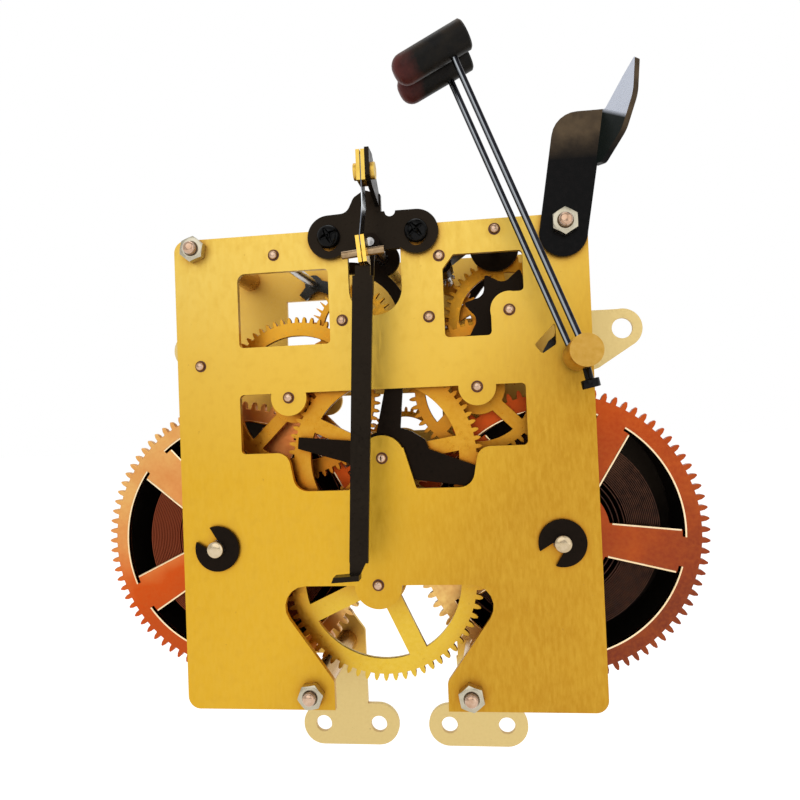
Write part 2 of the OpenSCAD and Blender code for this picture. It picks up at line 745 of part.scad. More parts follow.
module time_winding_arbor() color([0.75, 0.75, 0.77]) frame() winding_arbor(time_at);
module strike_winding_arbor() color([0.75, 0.75, 0.77]) frame() winding_arbor(strike_at);

module ratchet(at, hand) {
    step = 360 / ratchet_teeth;
    slab(ratchet_from, ratchet_thickness) spot(at) difference() {
        polygon([for (i = [0 : ratchet_teeth - 1]) for (k = [[ratchet_radius, 0], [ratchet_radius - 1.6, hand * step * 0.08]])
            polar(k[0], i * step * hand + k[1])]);
        square(winding_square + 2 * fit, center = true);
    }
}

module time_ratchet_wheel() color([0.6, 0.6, 0.62]) frame() ratchet(time_at, 1);
module strike_ratchet_wheel() color([0.6, 0.6, 0.62]) frame() ratchet(strike_at, -1);

// Half the width of the clip's mouth at its rim
clip_mouth = 2.8;

module arbor_clip(at, mouth) {
    lug_r = winding_pivot / 2 - 0.3 + fit;
    slab(clip_from, clip_thickness) spot(at) rotate(mouth) difference() {
        circle(clip_diameter / 2);
        circle(lug_r);
        polygon([[0, -clip_mouth * 0.45], [clip_diameter * 0.6, -clip_mouth], [clip_diameter * 0.6, clip_mouth], [0, clip_mouth * 0.45]]);
    }
}

module time_arbor_clip() color([0.12, 0.12, 0.13]) frame() arbor_clip(time_at, 135);
module strike_arbor_clip() color([0.12, 0.12, 0.13]) frame() arbor_clip(strike_at, 225);

// Time train

// A train wheel seated on its arbor
module train_wheel(at, n, m, depth, turn, rim, spokes, spoke_turn, hub = 4.6, width = 3.4) {
    slab(depth, wheel_thickness) spot(at)
        wheel(wheel_outline(n, m, turn), arbor_r + fit, rim, hub, spokes, width, width, spoke_turn);
}

module intermediate_wheel() color([0.8, 0.62, 0.3]) frame()
    train_wheel(intermediate_at, intermediate_teeth, intermediate_m, intermediate_depth, 0, 19.4, 4, 205, 6, 4.6);

module intermediate_arbor() color([0.72, 0.72, 0.74]) frame()
    arbor(intermediate_at, pinion_outline(great_pinion, great_time_m, intermediate_turn),
          great_depth - pinion_past, great_front + pinion_past);

centre_rim = 18.2;

module centre_wheel() color([0.8, 0.62, 0.3]) frame() {
    slab(centre_depth, wheel_thickness) spot(centre_at)
        wheel(wheel_outline(centre_teeth, centre_m, 0), centre_diameter / 2 + fit, centre_rim, 5.4, 5, 3.6, 3.6, 153);
}

module centre_arbor() color([0.72, 0.72, 0.74]) frame() {
    bar(centre_at, -pivot_past, centre_depth, pivot_r);
    bar(centre_at, bush_end + end_play / 2, movement_depth + centre_reach - hand_seat_length, centre_diameter / 2);
    bar(centre_at, movement_depth + centre_reach - hand_seat_length - over, movement_depth + centre_reach, hand_seat / 2);
    slab(intermediate_depth - 0.6, wheel_thickness + 1.2) spot(centre_at)
        polygon(pinion_outline(centre_pinion, intermediate_m, centre_turn));
}

cannon_from = movement_depth + 1.2;
cannon_to = minute_wheel_from + 2;
hour_from = cannon_to + 0.3;

module cannon_pinion() color([0.82, 0.64, 0.32]) frame() {
    slab(cannon_from, cannon_to - cannon_from) spot(centre_at) difference() {
        polygon(pinion_outline(cannon_leaves, cannon_m, 0));
        circle(centre_diameter / 2 + fit);
    }
    slab(cannon_to - over, movement_depth + centre_reach - hand_seat_length - cannon_to + over) spot(centre_at) difference() {
        circle(cannon_diameter / 2);
        circle(centre_diameter / 2 + fit);
    }
}

module minute_wheel() color([0.82, 0.64, 0.32]) frame() {
    slab(minute_wheel_from, wheel_thickness) spot(minute_at) difference() {
        polygon(wheel_outline(minute_teeth, cannon_m, minute_turn));
        circle(minute_stud_r + running_clearance);
    }
    slab(minute_wheel_from + wheel_thickness - 0.01, 4.2 - wheel_thickness + 0.01) spot(minute_at) difference() {
        polygon(pinion_outline(minute_leaves, hour_m, 0));
        circle(minute_stud_r + running_clearance);
    }
}

module hour_wheel() color([0.82, 0.64, 0.32]) frame() {
    slab(hour_from, wheel_thickness) spot(centre_at)
        wheel(wheel_outline(hour_teeth, hour_m, hour_turn), cannon_diameter / 2 + running_clearance, 9.6, 5.4, 3, 3, 3, 20);
    slab(hour_from + wheel_thickness - 0.01, hour_pipe_length + 0.01) spot(centre_at) difference() {
        circle(hour_pipe / 2);
        circle(cannon_diameter / 2 + running_clearance);
    }
}

module third_wheel() color([0.8, 0.62, 0.3]) frame()
    train_wheel(third_at, third_teeth, third_m, third_depth, 0, 16, 4, 225);

// Lantern pinion: two discs with round pins, and the centre wheel between them
lantern_r = centre_m * lantern_pins / 2;
lantern_pin = 0.17 * PI * centre_m;
disc_thickness = 0.8;
lantern_from = plate_thickness + 0.5;
lantern_to = centre_depth + wheel_thickness + 1;

module third_arbor() color([0.78, 0.62, 0.34]) frame() {
    core = lantern_r - lantern_pin - 1.2 * centre_m;
    bar(third_at, lantern_to, front_inner - end_play, arbor_r);
    bar(third_at, lantern_from, lantern_to + over, core);
    bar(third_at, -pivot_past, lantern_from + 0.2, pivot_r);
    bar(third_at, front_inner - end_play - over, movement_depth + pivot_past, pivot_r);
    bar(third_at, lantern_from, lantern_from + disc_thickness, lantern_r + lantern_pin + 0.25);
    bar(third_at, lantern_to, lantern_to + disc_thickness, lantern_disc);
    for (i = [0 : lantern_pins - 1])
        bar(third_at + polar(lantern_r, third_turn + i * 360 / lantern_pins),
            lantern_from + 0.2, lantern_to + 0.3, lantern_pin);
}

module escape_wheel() color([0.82, 0.65, 0.32]) frame() {
    step = 360 / escape_teeth;
    slab(escape_depth, wheel_thickness) spot(escape_at) difference() {
        polygon([for (i = [0 : escape_teeth - 1])
            for (k = [[escape_radius, 0], [escape_radius, step * 0.1], [escape_radius - 1.7, step * 0.42], [escape_radius - 1.7, step * 0.95]])
                polar(k[0], i * step + k[1])]);
        crossing(escape_radius - 3.2, 4, 4, 2.2, 2.2, 30);
        circle(arbor_r + fit);
    }
}

module escape_arbor() color([0.72, 0.72, 0.74]) frame()
    arbor(escape_at, pinion_outline(small_pinion, third_m, escape_turn),
          third_depth - pinion_past, third_depth + wheel_thickness + pinion_past);

// Pallets: arbor, anchor and crutch, turned with the leader's lean
crutch_length = 12;
crutch_low = pallet_at[1] - crutch_length;
crutch_ratio = (bend_height - crutch_low) / (pallet_at[1] - crutch_low);
crutch_turn = -crutch_ratio * leader_lean;
crutch_from = -bracket_thickness - 3.4;

module pallet_arbor() color([0.72, 0.72, 0.74]) frame() {
    bar(pallet_at, end_play, front_inner - end_play, arbor_r);
    bar(pallet_at, crutch_from - 0.4, end_play + over, pivot_r);
    bar(pallet_at, front_inner - end_play - over, movement_depth + pivot_past, pivot_r);
}

// The anchor's arms stay outside the escape wheel at both ends of the swing
anchor_half = 46;
anchor_inner = escape_radius + 2.2;
anchor_outer = anchor_inner + 3;

module anchor() color([0.1, 0.1, 0.1]) frame() {
    aim = way(escape_at, pallet_at);
    slab(escape_depth - 0.3, wheel_thickness + 0.6) difference() {
        spot(pallet_at) rotate(crutch_turn) spot(-pallet_at) union() {
            spot(pallet_at) circle(4.4);
            spot(escape_at) rotate(aim) difference() {
                circle(anchor_outer);
                circle(anchor_inner);
                rotate(anchor_half) translate([-40, 0]) square([80, 40]);
                rotate(-anchor_half) translate([-40, -40]) square([80, 40]);
                translate([-60, -30]) square([60, 60]);
            }
        }
        spot(pallet_at) circle(arbor_r + fit);
    }
}

module crutch() color([0.14, 0.14, 0.14]) frame() {
    translate([pallet_at[0], 0, pallet_at[1]]) rotate([0, -crutch_turn, 0]) {
        slab(crutch_from, 1.2) difference() {
            union() {
                circle(2.2);
                translate([-1.1, -crutch_length - 1]) square([2.2, crutch_length + 1]);
            }
            circle(pivot_r + fit);
        }
        bar([0, -crutch_length], -leader_distance + leader_thickness / 2 + 0.4, crutch_from + 0.2, 0.8);
    }
}

// Pendulum leader, hung from the suspension spring

// Turns a piece that is drawn hanging straight about the spring's bending point
module hung() {
    translate([0, 0, bend_height]) rotate([0, leader_lean, 0]) translate([0, 0, -bend_height]) children();
}

lower_chops_top = bend_height - bend_to_chops;
lower_chops_low = lower_chops_top - 8;
pin_height = lower_chops_low + 4.6;
leader_top = lower_chops_low - 0.6;
leader_low = leader_top - leader_length;
leader_from = -leader_distance - leader_thickness / 2;
spring_strip = 0.2;
spring_clamped = 2.2;
chop_plate = 0.85;
chop_depth = 5;

module pendulum_leader() color([0.09, 0.09, 0.09]) frame() hung() {
    slab(leader_from, leader_thickness) {
        polygon([[-leader_top_width / 2, leader_top], [leader_top_width / 2, leader_top],
                 [leader_low_width / 2, leader_low], [-leader_low_width / 2, leader_low]]);
        polygon([[-2, leader_low + 0.1], [1.6, leader_low + 0.1], [0.4, leader_low - 2.6], [-2, leader_low - 2.6]]);
        polygon([[-1.7, leader_top - 0.1], [1.7, leader_top - 0.1], [1.7, lower_chops_low + 1.6], [-1.7, lower_chops_low + 1.6]]);
    }
    slab(leader_from - 2.2, leader_thickness + 2.2)
        polygon([[-5.6, leader_low - 4.2], [0.5, leader_low - 3.5], [0.5, leader_low - 2.3], [-5.2, leader_low - 3]]);
}

// Turns the lower chops about their pin
module askew() {
    translate([0, 0, pin_height]) rotate([0, -chops_askew, 0]) translate([0, 0, -pin_height]) children();
}

module leader_chops() color([0.85, 0.68, 0.32]) frame() hung() askew() {
    for (s = [-1, 1])
        translate([s > 0 ? spring_strip / 2 + 0.03 : -spring_strip / 2 - 0.03 - chop_plate, -leader_distance - chop_depth / 2, pin_height - 2.6])
            difference() {
                cube([chop_plate, chop_depth, 6]);
                translate([-over, chop_depth / 2, 2.6]) rotate([0, 90, 0]) cylinder(h = chop_plate + 2 * over, r = 0.9 + fit);
            }
    translate([-4.8, -leader_distance, pin_height]) rotate([0, 90, 0]) cylinder(h = 9.6, r = 0.9);
}

rivet_r = 0.6;
rivet_head = 1.9;
rivet_heights = [chops_low + 2.6];
ear_thickness = 1;
ear_x = spring_strip / 2 + 2 * fit + chop_plate + ear_thickness;

module rivet_holes(from, to) {
    for (z = rivet_heights)
        translate([from, -leader_distance, z]) rotate([0, 90, 0]) cylinder(h = to - from, r = rivet_r + fit);
}

// A place between the lower chops, given by its height over the pin
function between_chops(rise) = [-rise * sin(chops_askew), pin_height + rise * cos(chops_askew)];
// The same place once the leader hangs at its lean
function leaning(p) = [p[0] * cos(leader_lean) + (p[1] - bend_height) * sin(leader_lean),
                       bend_height + (p[1] - bend_height) * cos(leader_lean) - p[0] * sin(leader_lean)];

// The ribbon hangs straight to its bending point, then runs over to the lower chops
module suspension_spring() color([0.8, 0.8, 0.82]) frame() difference() {
    half = spring_strip / 2;
    line = [[0, chops_low + chops_height - 1], [0, bend_height],
            leaning(between_chops(3.45)), leaning(between_chops(3.45 - spring_clamped))];
    slab(-leader_distance - chop_depth / 2 + 0.3, chop_depth - 0.6)
        polygon(concat([for (i = [0 : 3]) line[i] - [half, 0]], [for (i = [0 : 3]) line[3 - i] + [half, 0]]));
    rivet_holes(-1, 1);
}

module suspension_chops() color([0.85, 0.68, 0.32]) frame() {
    for (s = [-1, 1]) difference() {
        translate([s > 0 ? spring_strip / 2 + fit : -spring_strip / 2 - fit - chop_plate, -leader_distance - chop_depth / 2, chops_low])
            cube([chop_plate, chop_depth, chops_height]);
        rivet_holes(-3, 3);
    }
    left = -spring_strip / 2 - fit - chop_plate;
    for (z = rivet_heights) translate([0, -leader_distance, z]) rotate([0, 90, 0]) {
        translate([0, 0, left - 0.5]) cylinder(h = ear_x - left + 1, r = rivet_r);
        translate([0, 0, left - 0.9]) cylinder(h = 0.9 - fit, r = rivet_head);
        translate([0, 0, ear_x + fit]) cylinder(h = 0.9 - fit, r = rivet_head);
    }
}

bracket_hole_r = 1.5;
// The adjusting slots show below the screws' heads
adjusting_r = 2;
adjusting_drop = 1.4;

// The flat bracket with its two screw lobes, and the ear that is folded back to carry the chops
module suspension_bracket() color([0.09, 0.09, 0.09]) frame() {
    half = bracket_screw_span / 2;
    lobe = 5.2;
    z = bracket_screw_height;
    slab(-bracket_thickness, bracket_thickness) difference() {
        union() {
            for (s = [-1, 1]) translate([s * half, z]) circle(lobe);
            polygon(smooth([[-half, z + lobe, 0], [-6, z + 5.4, 2.5], [-4.2, z + 9, 2], [-1.6, z + 10.6, 0.6],
                            [ear_x + 0.3, z + 9.4, 0.3], [ear_x + 0.3, z + lobe, 0], [half, z + lobe, 0],
                            [half, z - lobe, 0], [7.4, z - 3.7, 1.5], [-7.4, z - 4.4, 1.5], [-half, z - lobe, 0]]));
        }
        translate([ear_x + 2.4, z + lobe]) circle(1.3);
        for (s = [-1, 1]) {
            translate([s * half, z]) circle(bracket_hole_r);
            translate([s * half, z - adjusting_drop]) circle(adjusting_r);
        }
        spot(pallet_at) circle(pivot_bore);
    }
    reach = leader_distance + chop_depth / 2;
    difference() {
        translate([ear_x, 0, 0]) rotate([0, 0, -90]) rotate([90, 0, 0]) linear_extrude(ear_thickness)
            polygon([[bracket_thickness / 2, z + 6.2], [bracket_thickness / 2, z + 9.3],
                     [reach - 4.6, chops_low + chops_height + 0.4], [reach, chops_low + chops_height + 0.4],
                     [reach, chops_low + 1], [reach - 4, chops_low - 0.6]]);
        rivet_holes(0, ear_x + 1);
    }
}

module suspension_screws() color([0.07, 0.07, 0.07]) frame() {
    for (s = [-1, 1]) {
        at = [s * bracket_screw_span / 2, bracket_screw_height];
        difference() {
            union() {
                bar(at, -bracket_thickness - 1.7, -bracket_thickness, screw_head / 2);
                bar(at, -bracket_thickness - 2.1, -bracket_thickness - 1.6, screw_head / 2 - 0.5);
            }
            slab(-bracket_thickness - 3, 1.9) spot(at) rotate(20) {
                square([3.2, 0.8], center = true);
                square([0.8, 3.2], center = true);
            }
        }
        bar(at, -bracket_thickness - 0.2, plate_thickness + 1.6, bracket_hole_r - fit);
    }
}

// How far the hook's flange is turned back, and how far its fold leans
hook_turn = 57;
fold_lean = 9.5;

// The hook bracket under the upper right nut, with its flange and horn bent back
module hook_bracket() color([0.09, 0.09, 0.09]) frame() {
    p = upper_pillar;
    slab(-bracket_thickness, bracket_thickness) spot(p) difference() {
        union() {
            translate([-0.3, -2.2]) circle(5.5);
            polygon(smooth([[-5.68, -1.25, 0], [-1.2, 25.5, 6], [10.1, 25.4, 0], [5.08, -3.15, 0]]));
        }
        circle(stud_r + 0.1);
    }
    translate([p[0] + 8, -bracket_thickness / 2, p[1] + 13]) rotate([0, fold_lean, 0]) rotate([0, 0, -hook_turn])
        translate([0, bracket_thickness / 2, 0]) rotate([90, 0, 0]) linear_extrude(bracket_thickness)
            polygon(smooth([[-0.6, 0, 0], [2.3, 0, 1.5], [7.7, 6, 6], [9.9, 13.4, 8], [9, 21.8, 0.3],
                            [5.9, 18.3, 12], [1.2, 12.4, 1], [-0.6, 12.4, 0]]));
}

// Strike train

module second_wheel() color([0.8, 0.62, 0.3]) frame()
    train_wheel(second_at, second_teeth, second_m, second_depth, 0, 13.2, 4, 45, 6.6);

module second_arbor() color([0.72, 0.72, 0.74]) frame()
    arbor(second_at, pinion_outline(great_pinion, great_strike_m, second_turn),
          great_depth - pinion_past, great_front + pinion_past);

module star_wheel() color([0.8, 0.62, 0.3]) frame()
    train_wheel(star_at, star_teeth, star_m, star_wheel_depth, 0, 12.6, 4, 10);

module lifting_star() color([0.08, 0.08, 0.08]) frame() {
    step = 360 / star_points;
    slab(star_depth, wheel_thickness + 0.2) spot(star_at) difference() {
        polygon(smooth([for (i = [0 : star_points - 1])
            for (k = [[star_radius, 0, 0.5], [star_radius - 2.4, 11, 0], [star_radius - 4.4, step / 2, 2.5],
                      [star_radius - 2.4, step - 11, 0]])
                concat(polar(k[0], 164 + i * step + k[1]), [k[2]])]));
        circle(arbor_r + fit);
    }
}

module star_arbor() color([0.72, 0.72, 0.74]) frame()
    arbor(star_at, pinion_outline(small_pinion, second_m, star_turn),
          second_depth - pinion_past, second_depth + wheel_thickness + pinion_past);

module locking_wheel() color([0.8, 0.62, 0.3]) frame()
    train_wheel(locking_at, locking_teeth, locking_m, locking_depth, 0, 9.6, 4, 30);

module locking_arbor() color([0.72, 0.72, 0.74]) frame()
    arbor(locking_at, pinion_outline(small_pinion, star_m, locking_turn),
          star_wheel_depth - pinion_past, star_wheel_depth + wheel_thickness + pinion_past);

fly_from = third_depth - 0.4;

module fly() color([0.16, 0.16, 0.17]) frame() {
    slab(fly_from, fly_length) spot(fly_at) rotate(35) difference() {
        union() {
            square([fly_span, 0.6], center = true);
            circle(2.4);
        }
        circle(arbor_r + fit);
    }
}

module fly_arbor() color([0.72, 0.72, 0.74]) frame()
    arbor(fly_at, pinion_outline(small_pinion, locking_m, fly_turn),
          locking_depth - pinion_past, locking_depth + wheel_thickness + pinion_past);

// Hammers

hub_from = -near_rod - rod_spacing - 2.6;
hub_to = -near_rod + 3;

module hammer_arbor() color([0.7, 0.7, 0.72]) frame() {
    tail = gap(hammer_at, star_at) - star_radius - 0.4;
    bar(hammer_at, hub_from + 0.6, front_inner - end_play, arbor_r);
    bar(hammer_at, front_inner - end_play - over, movement_depth + pivot_past, pivot_r);
    slab(star_depth, wheel_thickness + 0.2) spot(hammer_at) rotate(way(hammer_at, star_at)) {
        circle(3.2);
        polygon([[0, -2.9], [tail - 0.7, -2.7], [tail, 0], [tail - 0.35, 2.6], [tail - 0.9, 4.1], [tail - 4.3, 4.6], [0, 2.9]]);
    }
}

// Each rod's depth and its sideways offset
rods = [[near_rod, rod_shift], [near_rod + rod_spacing, 0]];
hub_middle = (hub_from + hub_to) / 2;
hub_screw_r = 0.95;
hub_screw_turn = 168;

// A place on one hammer's rod, with the rod along +Z
module on_rod(rod) {
    translate([hammer_at[0], -rod[0], hammer_at[1]]) rotate([0, -rod_lean, 0]) children();
}

module hammer_hub() color([0.85, 0.58, 0.3]) frame() difference() {
    bar(hammer_at, hub_from, hub_to, hub_diameter / 2);
    bar(hammer_at, hub_from + 0.6, hub_to + over, arbor_r + fit);
    for (rod = rods) on_rod(rod) translate([-rod[1], 0, 0]) cylinder(h = hub_diameter, r = rod_diameter / 2 + fit);
    translate([hammer_at[0], hub_middle, hammer_at[1]]) rotate([0, hub_screw_turn, 0])
        cylinder(h = hub_diameter, r = hub_screw_r);
}

module hub_screw() color([0.08, 0.08, 0.08]) frame()
    translate([hammer_at[0], hub_middle, hammer_at[1]]) rotate([0, hub_screw_turn, 0]) {
        translate([0, 0, arbor_r + 0.1]) cylinder(h = hub_diameter / 2 + 2.4, r = hub_screw_r - fit);
        translate([0, 0, hub_diameter / 2 + 2.4]) cylinder(h = 1.9, r = 2);
    }

module hammer_rods() color([0.75, 0.75, 0.77]) frame()
    for (rod = rods) on_rod(rod)
        translate([-rod[1], 0, arbor_r + 0.1]) cylinder(h = rod_reach - arbor_r, r = rod_diameter / 2);

head_tilt = 5;

// A hammer head with rounded ends, drawn along +Z
module head() {
    r = head_diameter / 2;
    soft = 2.8;
    translate([0, 0, -head_right]) rotate_extrude()
        polygon(concat([[0, 0], [r - 0.4, 0], [r, 0.4]],
                       [for (t = [0 : 15 : 90]) [r - soft * (1 - cos(t)), head_length - soft * (1 - sin(t))]],
                       [[0, head_length]]));
}

module hammer_heads() color([0.08, 0.08, 0.08]) frame()
    for (rod = rods) on_rod(rod) translate([0, 0, rod_reach + 0.3]) difference() {
        rotate([0, -90 - head_tilt, 0]) head();
        translate([-rod[1], 0, 0.12 - head_diameter]) cylinder(h = head_diameter, r = rod_diameter / 2 + fit);
    }

// Levers

lever_from = plate_thickness + 0.4;
lever_thickness = bush_end - lever_from - 0.2;

// Three-armed strike lever on the back plate's centre bush
module strike_lever() color([0.08, 0.08, 0.08]) frame() difference() {
    union() {
        slab(lever_from, lever_thickness) spot(centre_at) circle(bush_r + 2.6);
        slab(lever_from, lever_thickness) spot(centre_at)
            polygon([[-20.6, 5.6], [-20.9, 2.8], [-8.6, -1], [0.4, -3.6], [0.2, 3.4], [-8.4, 4.4]]);
        slab(lever_from, lever_thickness) spot(centre_at)
            polygon([[-2.6, 0.6], [1.6, 19], [5.6, 19], [3.8, 0.2]]);
        slab(lever_from, lever_thickness) spot(centre_at)
            polygon(smooth([[2, 9, 0], [4.7, 6.9, 1.5], [7.1, 6.1, 2], [10.4, 3.9, 2], [11.4, 0.8, 0], [6, 0, 0]]));
        slab(lever_from, lever_thickness) spot(centre_at)
            polygon([[-0.6, 3.1], [6.2, 3.6], [21.8, -2.4], [26, -5.2], [25.4, -9.6], [21.8, -7.6], [-0.9, -4.2]]);
    }
    bar(centre_at, lever_from - over, lever_from + lever_thickness + over, bush_r + running_clearance);
}

// A lever fixed on an arbor that runs between the plates
module lever_arbor(at, depth, thickness, hub, tip, half) {
    bar(at, plate_thickness + end_play, front_inner - end_play, arbor_r - 0.2);
    bar(at, -pivot_past, plate_thickness + end_play + over, pivot_r);
    bar(at, front_inner - end_play - over, movement_depth + pivot_past, pivot_r);
    slab(depth, thickness) {
        spot(at) circle(hub);
        spot(at) rotate(way(at, tip)) polygon([[0, -hub * 0.6], [gap(at, tip), -half], [gap(at, tip), half], [0, hub * 0.6]]);
    }
}

module lift_lever() color([0.12, 0.12, 0.12]) frame()
{
    lever_arbor(lift_at, front_inner - 1.9, 1.3, 2.6, lift_at + [9, -3], 2);
    slab(front_inner - 1.9, 1.3) spot(lift_at) polygon([[-1.8, 0], [-4.4, -3.2], [-2.4, -4.8], [1.6, -1.4]]);
}

lock_disc = 6.35;

module lock_lever() color([0.1, 0.1, 0.1]) frame()
{
    lever_arbor(lock_at, front_inner - 5.5, 1.4, 3, lock_at + [-8.6, -11.6], 1.4);
    slab(star_wheel_depth - 1.5, 1.2) spot(lock_at) circle(lock_disc);
}

back_plate();
front_plate();
pillars();
rear_nuts();
front_nuts();
suspension_bracket();
suspension_screws();
suspension_chops();
suspension_spring();
hook_bracket();
studs();
click_screws();
click_springs();
time_great_wheel();
time_barrel_drum();
time_mainspring();
time_winding_arbor();
time_ratchet_wheel();
time_arbor_clip();
time_click();
intermediate_wheel();
intermediate_arbor();
centre_wheel();
centre_arbor();
cannon_pinion();
minute_wheel();
hour_wheel();
third_wheel();
third_arbor();
escape_wheel();
escape_arbor();
pallet_arbor();
anchor();
crutch();
pendulum_leader();
leader_chops();
strike_great_wheel();
strike_barrel_drum();
strike_mainspring();
strike_winding_arbor();
strike_ratchet_wheel();
strike_arbor_clip();
strike_click();
second_wheel();
second_arbor();
star_wheel();
lifting_star();
star_arbor();
locking_wheel();
locking_arbor();
fly();
fly_arbor();
hammer_arbor();
hammer_hub();
hub_screw();
hammer_rods();
hammer_heads();
strike_lever();
lift_lever();
lock_lever();
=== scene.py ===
import math

import bmesh
import bpy
from mathutils import Matrix, Vector


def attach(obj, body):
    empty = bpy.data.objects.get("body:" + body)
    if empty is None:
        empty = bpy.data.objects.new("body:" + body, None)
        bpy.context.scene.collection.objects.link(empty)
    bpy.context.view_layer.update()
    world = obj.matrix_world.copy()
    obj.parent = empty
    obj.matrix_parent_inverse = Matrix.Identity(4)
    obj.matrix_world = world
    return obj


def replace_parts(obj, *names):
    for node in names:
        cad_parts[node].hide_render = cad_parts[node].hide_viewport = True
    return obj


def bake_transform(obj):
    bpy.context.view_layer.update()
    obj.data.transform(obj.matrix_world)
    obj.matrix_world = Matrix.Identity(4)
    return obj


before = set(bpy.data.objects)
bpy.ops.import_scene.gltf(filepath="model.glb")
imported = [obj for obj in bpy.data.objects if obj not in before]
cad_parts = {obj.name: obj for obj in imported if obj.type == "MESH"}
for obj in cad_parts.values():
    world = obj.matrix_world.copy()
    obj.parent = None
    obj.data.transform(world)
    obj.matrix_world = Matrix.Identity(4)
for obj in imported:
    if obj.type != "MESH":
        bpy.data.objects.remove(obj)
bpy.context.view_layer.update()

# Sizes of the movement in millimetres, in the drawing's own places:
# across, up from the back plate's lower edge, depth from the back plate's rear face
MM = 0.001
DEPTH = 43.0
LUG_HEIGHT = 91.8
NUT_FLATS = 5.5
NUT_THICK = 2.4
STUD_R = 1.5
STUD_PAST = 1.3
BRACKET = 1.5
UPPER = (44.7, 112.1)
LOWER = (19.0, 3.7)
TIME_AT = (-41.2, 38.8)
STRIKE_AT = (41.2, 38.8)
PIVOT_R = 1.0
PIVOT_PAST = 0.55
WINDING_END = -2.1
WINDING_R = 2.0
LEADER_DEPTH = -12.0
BEND_HEIGHT = 116.0
LEAN = math.radians(3)
HAMMER_AT = (46.3, 81.4)
ROD_LEAN = math.radians(21)
ROD_REACH = 72.4
HEAD_TILT = math.radians(5)
HOOK_TURN = math.radians(57)
FOLD_LEAN = math.radians(9.5)
CHOPS_ASKEW = math.radians(8)
PIN_HEIGHT = 106.0

# Arbors whose pivots show in the back plate, by the body that each one turns with
PIVOTS = {
    "intermediate": (-2.0, 29.5),
    "centre": (0.0, 59.5),
    "third": (-22.2, 74.8),
    "escape": (-8.3, 92.8),
    "second": (23.2, 75.5),
    "star": (31.4, 93.1),
    "locking": (12.6, 92.5),
    "fly_group": (15.5, 106.8),
    "lift_lever_body": (-24.7, 109.6),
    "lock_lever_body": (28.7, 112.2),
}
STOP_AT = (-44.1, 83.4)

# Directions in the shared frame
ORIGIN = (0, 0, 0)
RIGHT = (1, 0, 0)
LEFT = (-1, 0, 0)
INWARD = (0, 1, 0)
UP = (0, 0, 1)
DOWN = (0, 0, -1)


def row(x, up, depth):
    """A drawn place as a point of the shared frame, in metres."""
    return Vector((x, depth - DEPTH, up - LUG_HEIGHT)) * MM


def leaning(across, up):
    """A place on the hanging leader, turned by its lean about the bending point."""
    below = up - BEND_HEIGHT
    return (across * math.cos(LEAN) + below * math.sin(LEAN),
            BEND_HEIGHT + below * math.cos(LEAN) - across * math.sin(LEAN))


# Material helpers

MIX_FIRST = 6
MIX_SECOND = 7
MIX_RESULT = 2
GRAIN_EDGES = (0.35, 0.75)
TONE_EDGES = (0.35, 0.7)
GLOSS_EDGES = (0.3, 0.7)
PATCH_EDGES = (0.32, 0.68)
METAL_GRAIN = 900
RELIEF = 0.00005
METAL_RELIEF = 0.00006
CREVICE_SAMPLES = 8
CREVICE_NARROW = 0.003
CREVICE_WIDE = 0.012
CREVICE_EDGES = (0.3, 0.95)
# Warm lacquer brown that painted shade turns to
PAINTED_SHADE_LACQUER = (0.35, 0.085, 0.008)


def link(tree, source, target):
    tree.links.new(source, target)


def fresh(name):
    """An empty node material with its shader and the object's own coordinates."""
    material = bpy.data.materials.new(name)
    material.use_nodes = True
    tree = material.node_tree
    tree.nodes.clear()
    output = tree.nodes.new("ShaderNodeOutputMaterial")
    shader = tree.nodes.new("ShaderNodeBsdfPrincipled")
    link(tree, shader.outputs["BSDF"], output.inputs["Surface"])
    place = tree.nodes.new("ShaderNodeTexCoord").outputs["Object"]
    return material, tree, shader, place


def noise(tree, place, scale, detail=4.0, stretch=(1, 1, 1)):
    """A noise of about 1/scale metres, stretched along the axes."""
    mapping = tree.nodes.new("ShaderNodeMapping")
    mapping.inputs["Scale"].default_value = stretch
    link(tree, place, mapping.inputs["Vector"])
    node = tree.nodes.new("ShaderNodeTexNoise")
    node.inputs["Scale"].default_value = scale
    node.inputs["Detail"].default_value = detail
    link(tree, mapping.outputs["Vector"], node.inputs["Vector"])
    return node.outputs["Fac"]


def spread(tree, value, low, high, to_low=0.0, to_high=1.0):
    """A value taken from one range to another."""
    node = tree.nodes.new("ShaderNodeMapRange")
    node.inputs["From Min"].default_value = low
    node.inputs["From Max"].default_value = high
    node.inputs["To Min"].default_value = to_low
    node.inputs["To Max"].default_value = to_high
    link(tree, value, node.inputs["Value"])
    return node.outputs["Result"]


def mixed(tree, share, first, second):
    """Two colours mixed by a share; a colour is a triple or another mix."""
    node = tree.nodes.new("ShaderNodeMix")
    node.data_type = "RGBA"
    link(tree, share, node.inputs["Factor"])
    for key, colour in ((MIX_FIRST, first), (MIX_SECOND, second)):
        if isinstance(colour, tuple):
            node.inputs[key].default_value = (*colour, 1)
        else:
            link(tree, colour, node.inputs[key])
    return node.outputs[MIX_RESULT]


def two_tones(tree, value, first, second):
    """Two colours in the light and dark of a noise."""
    return mixed(tree, spread(tree, value, *TONE_EDGES), first, second)


def grained(tree, fine, colour, tone, most):
    """A colour with another tone in the highs of a fine noise."""
    return mixed(tree, spread(tree, fine, *GRAIN_EDGES, 0.0, most), colour, tone)


def specked(tree, place, colour, tone, scale=900, edges=(0.74, 0.82), most=0.5):
    """A colour with small scattered specks of another tone."""
    dots = spread(tree, noise(tree, place, scale, 2), *edges, 0.0, most)
    return mixed(tree, dots, colour, tone)


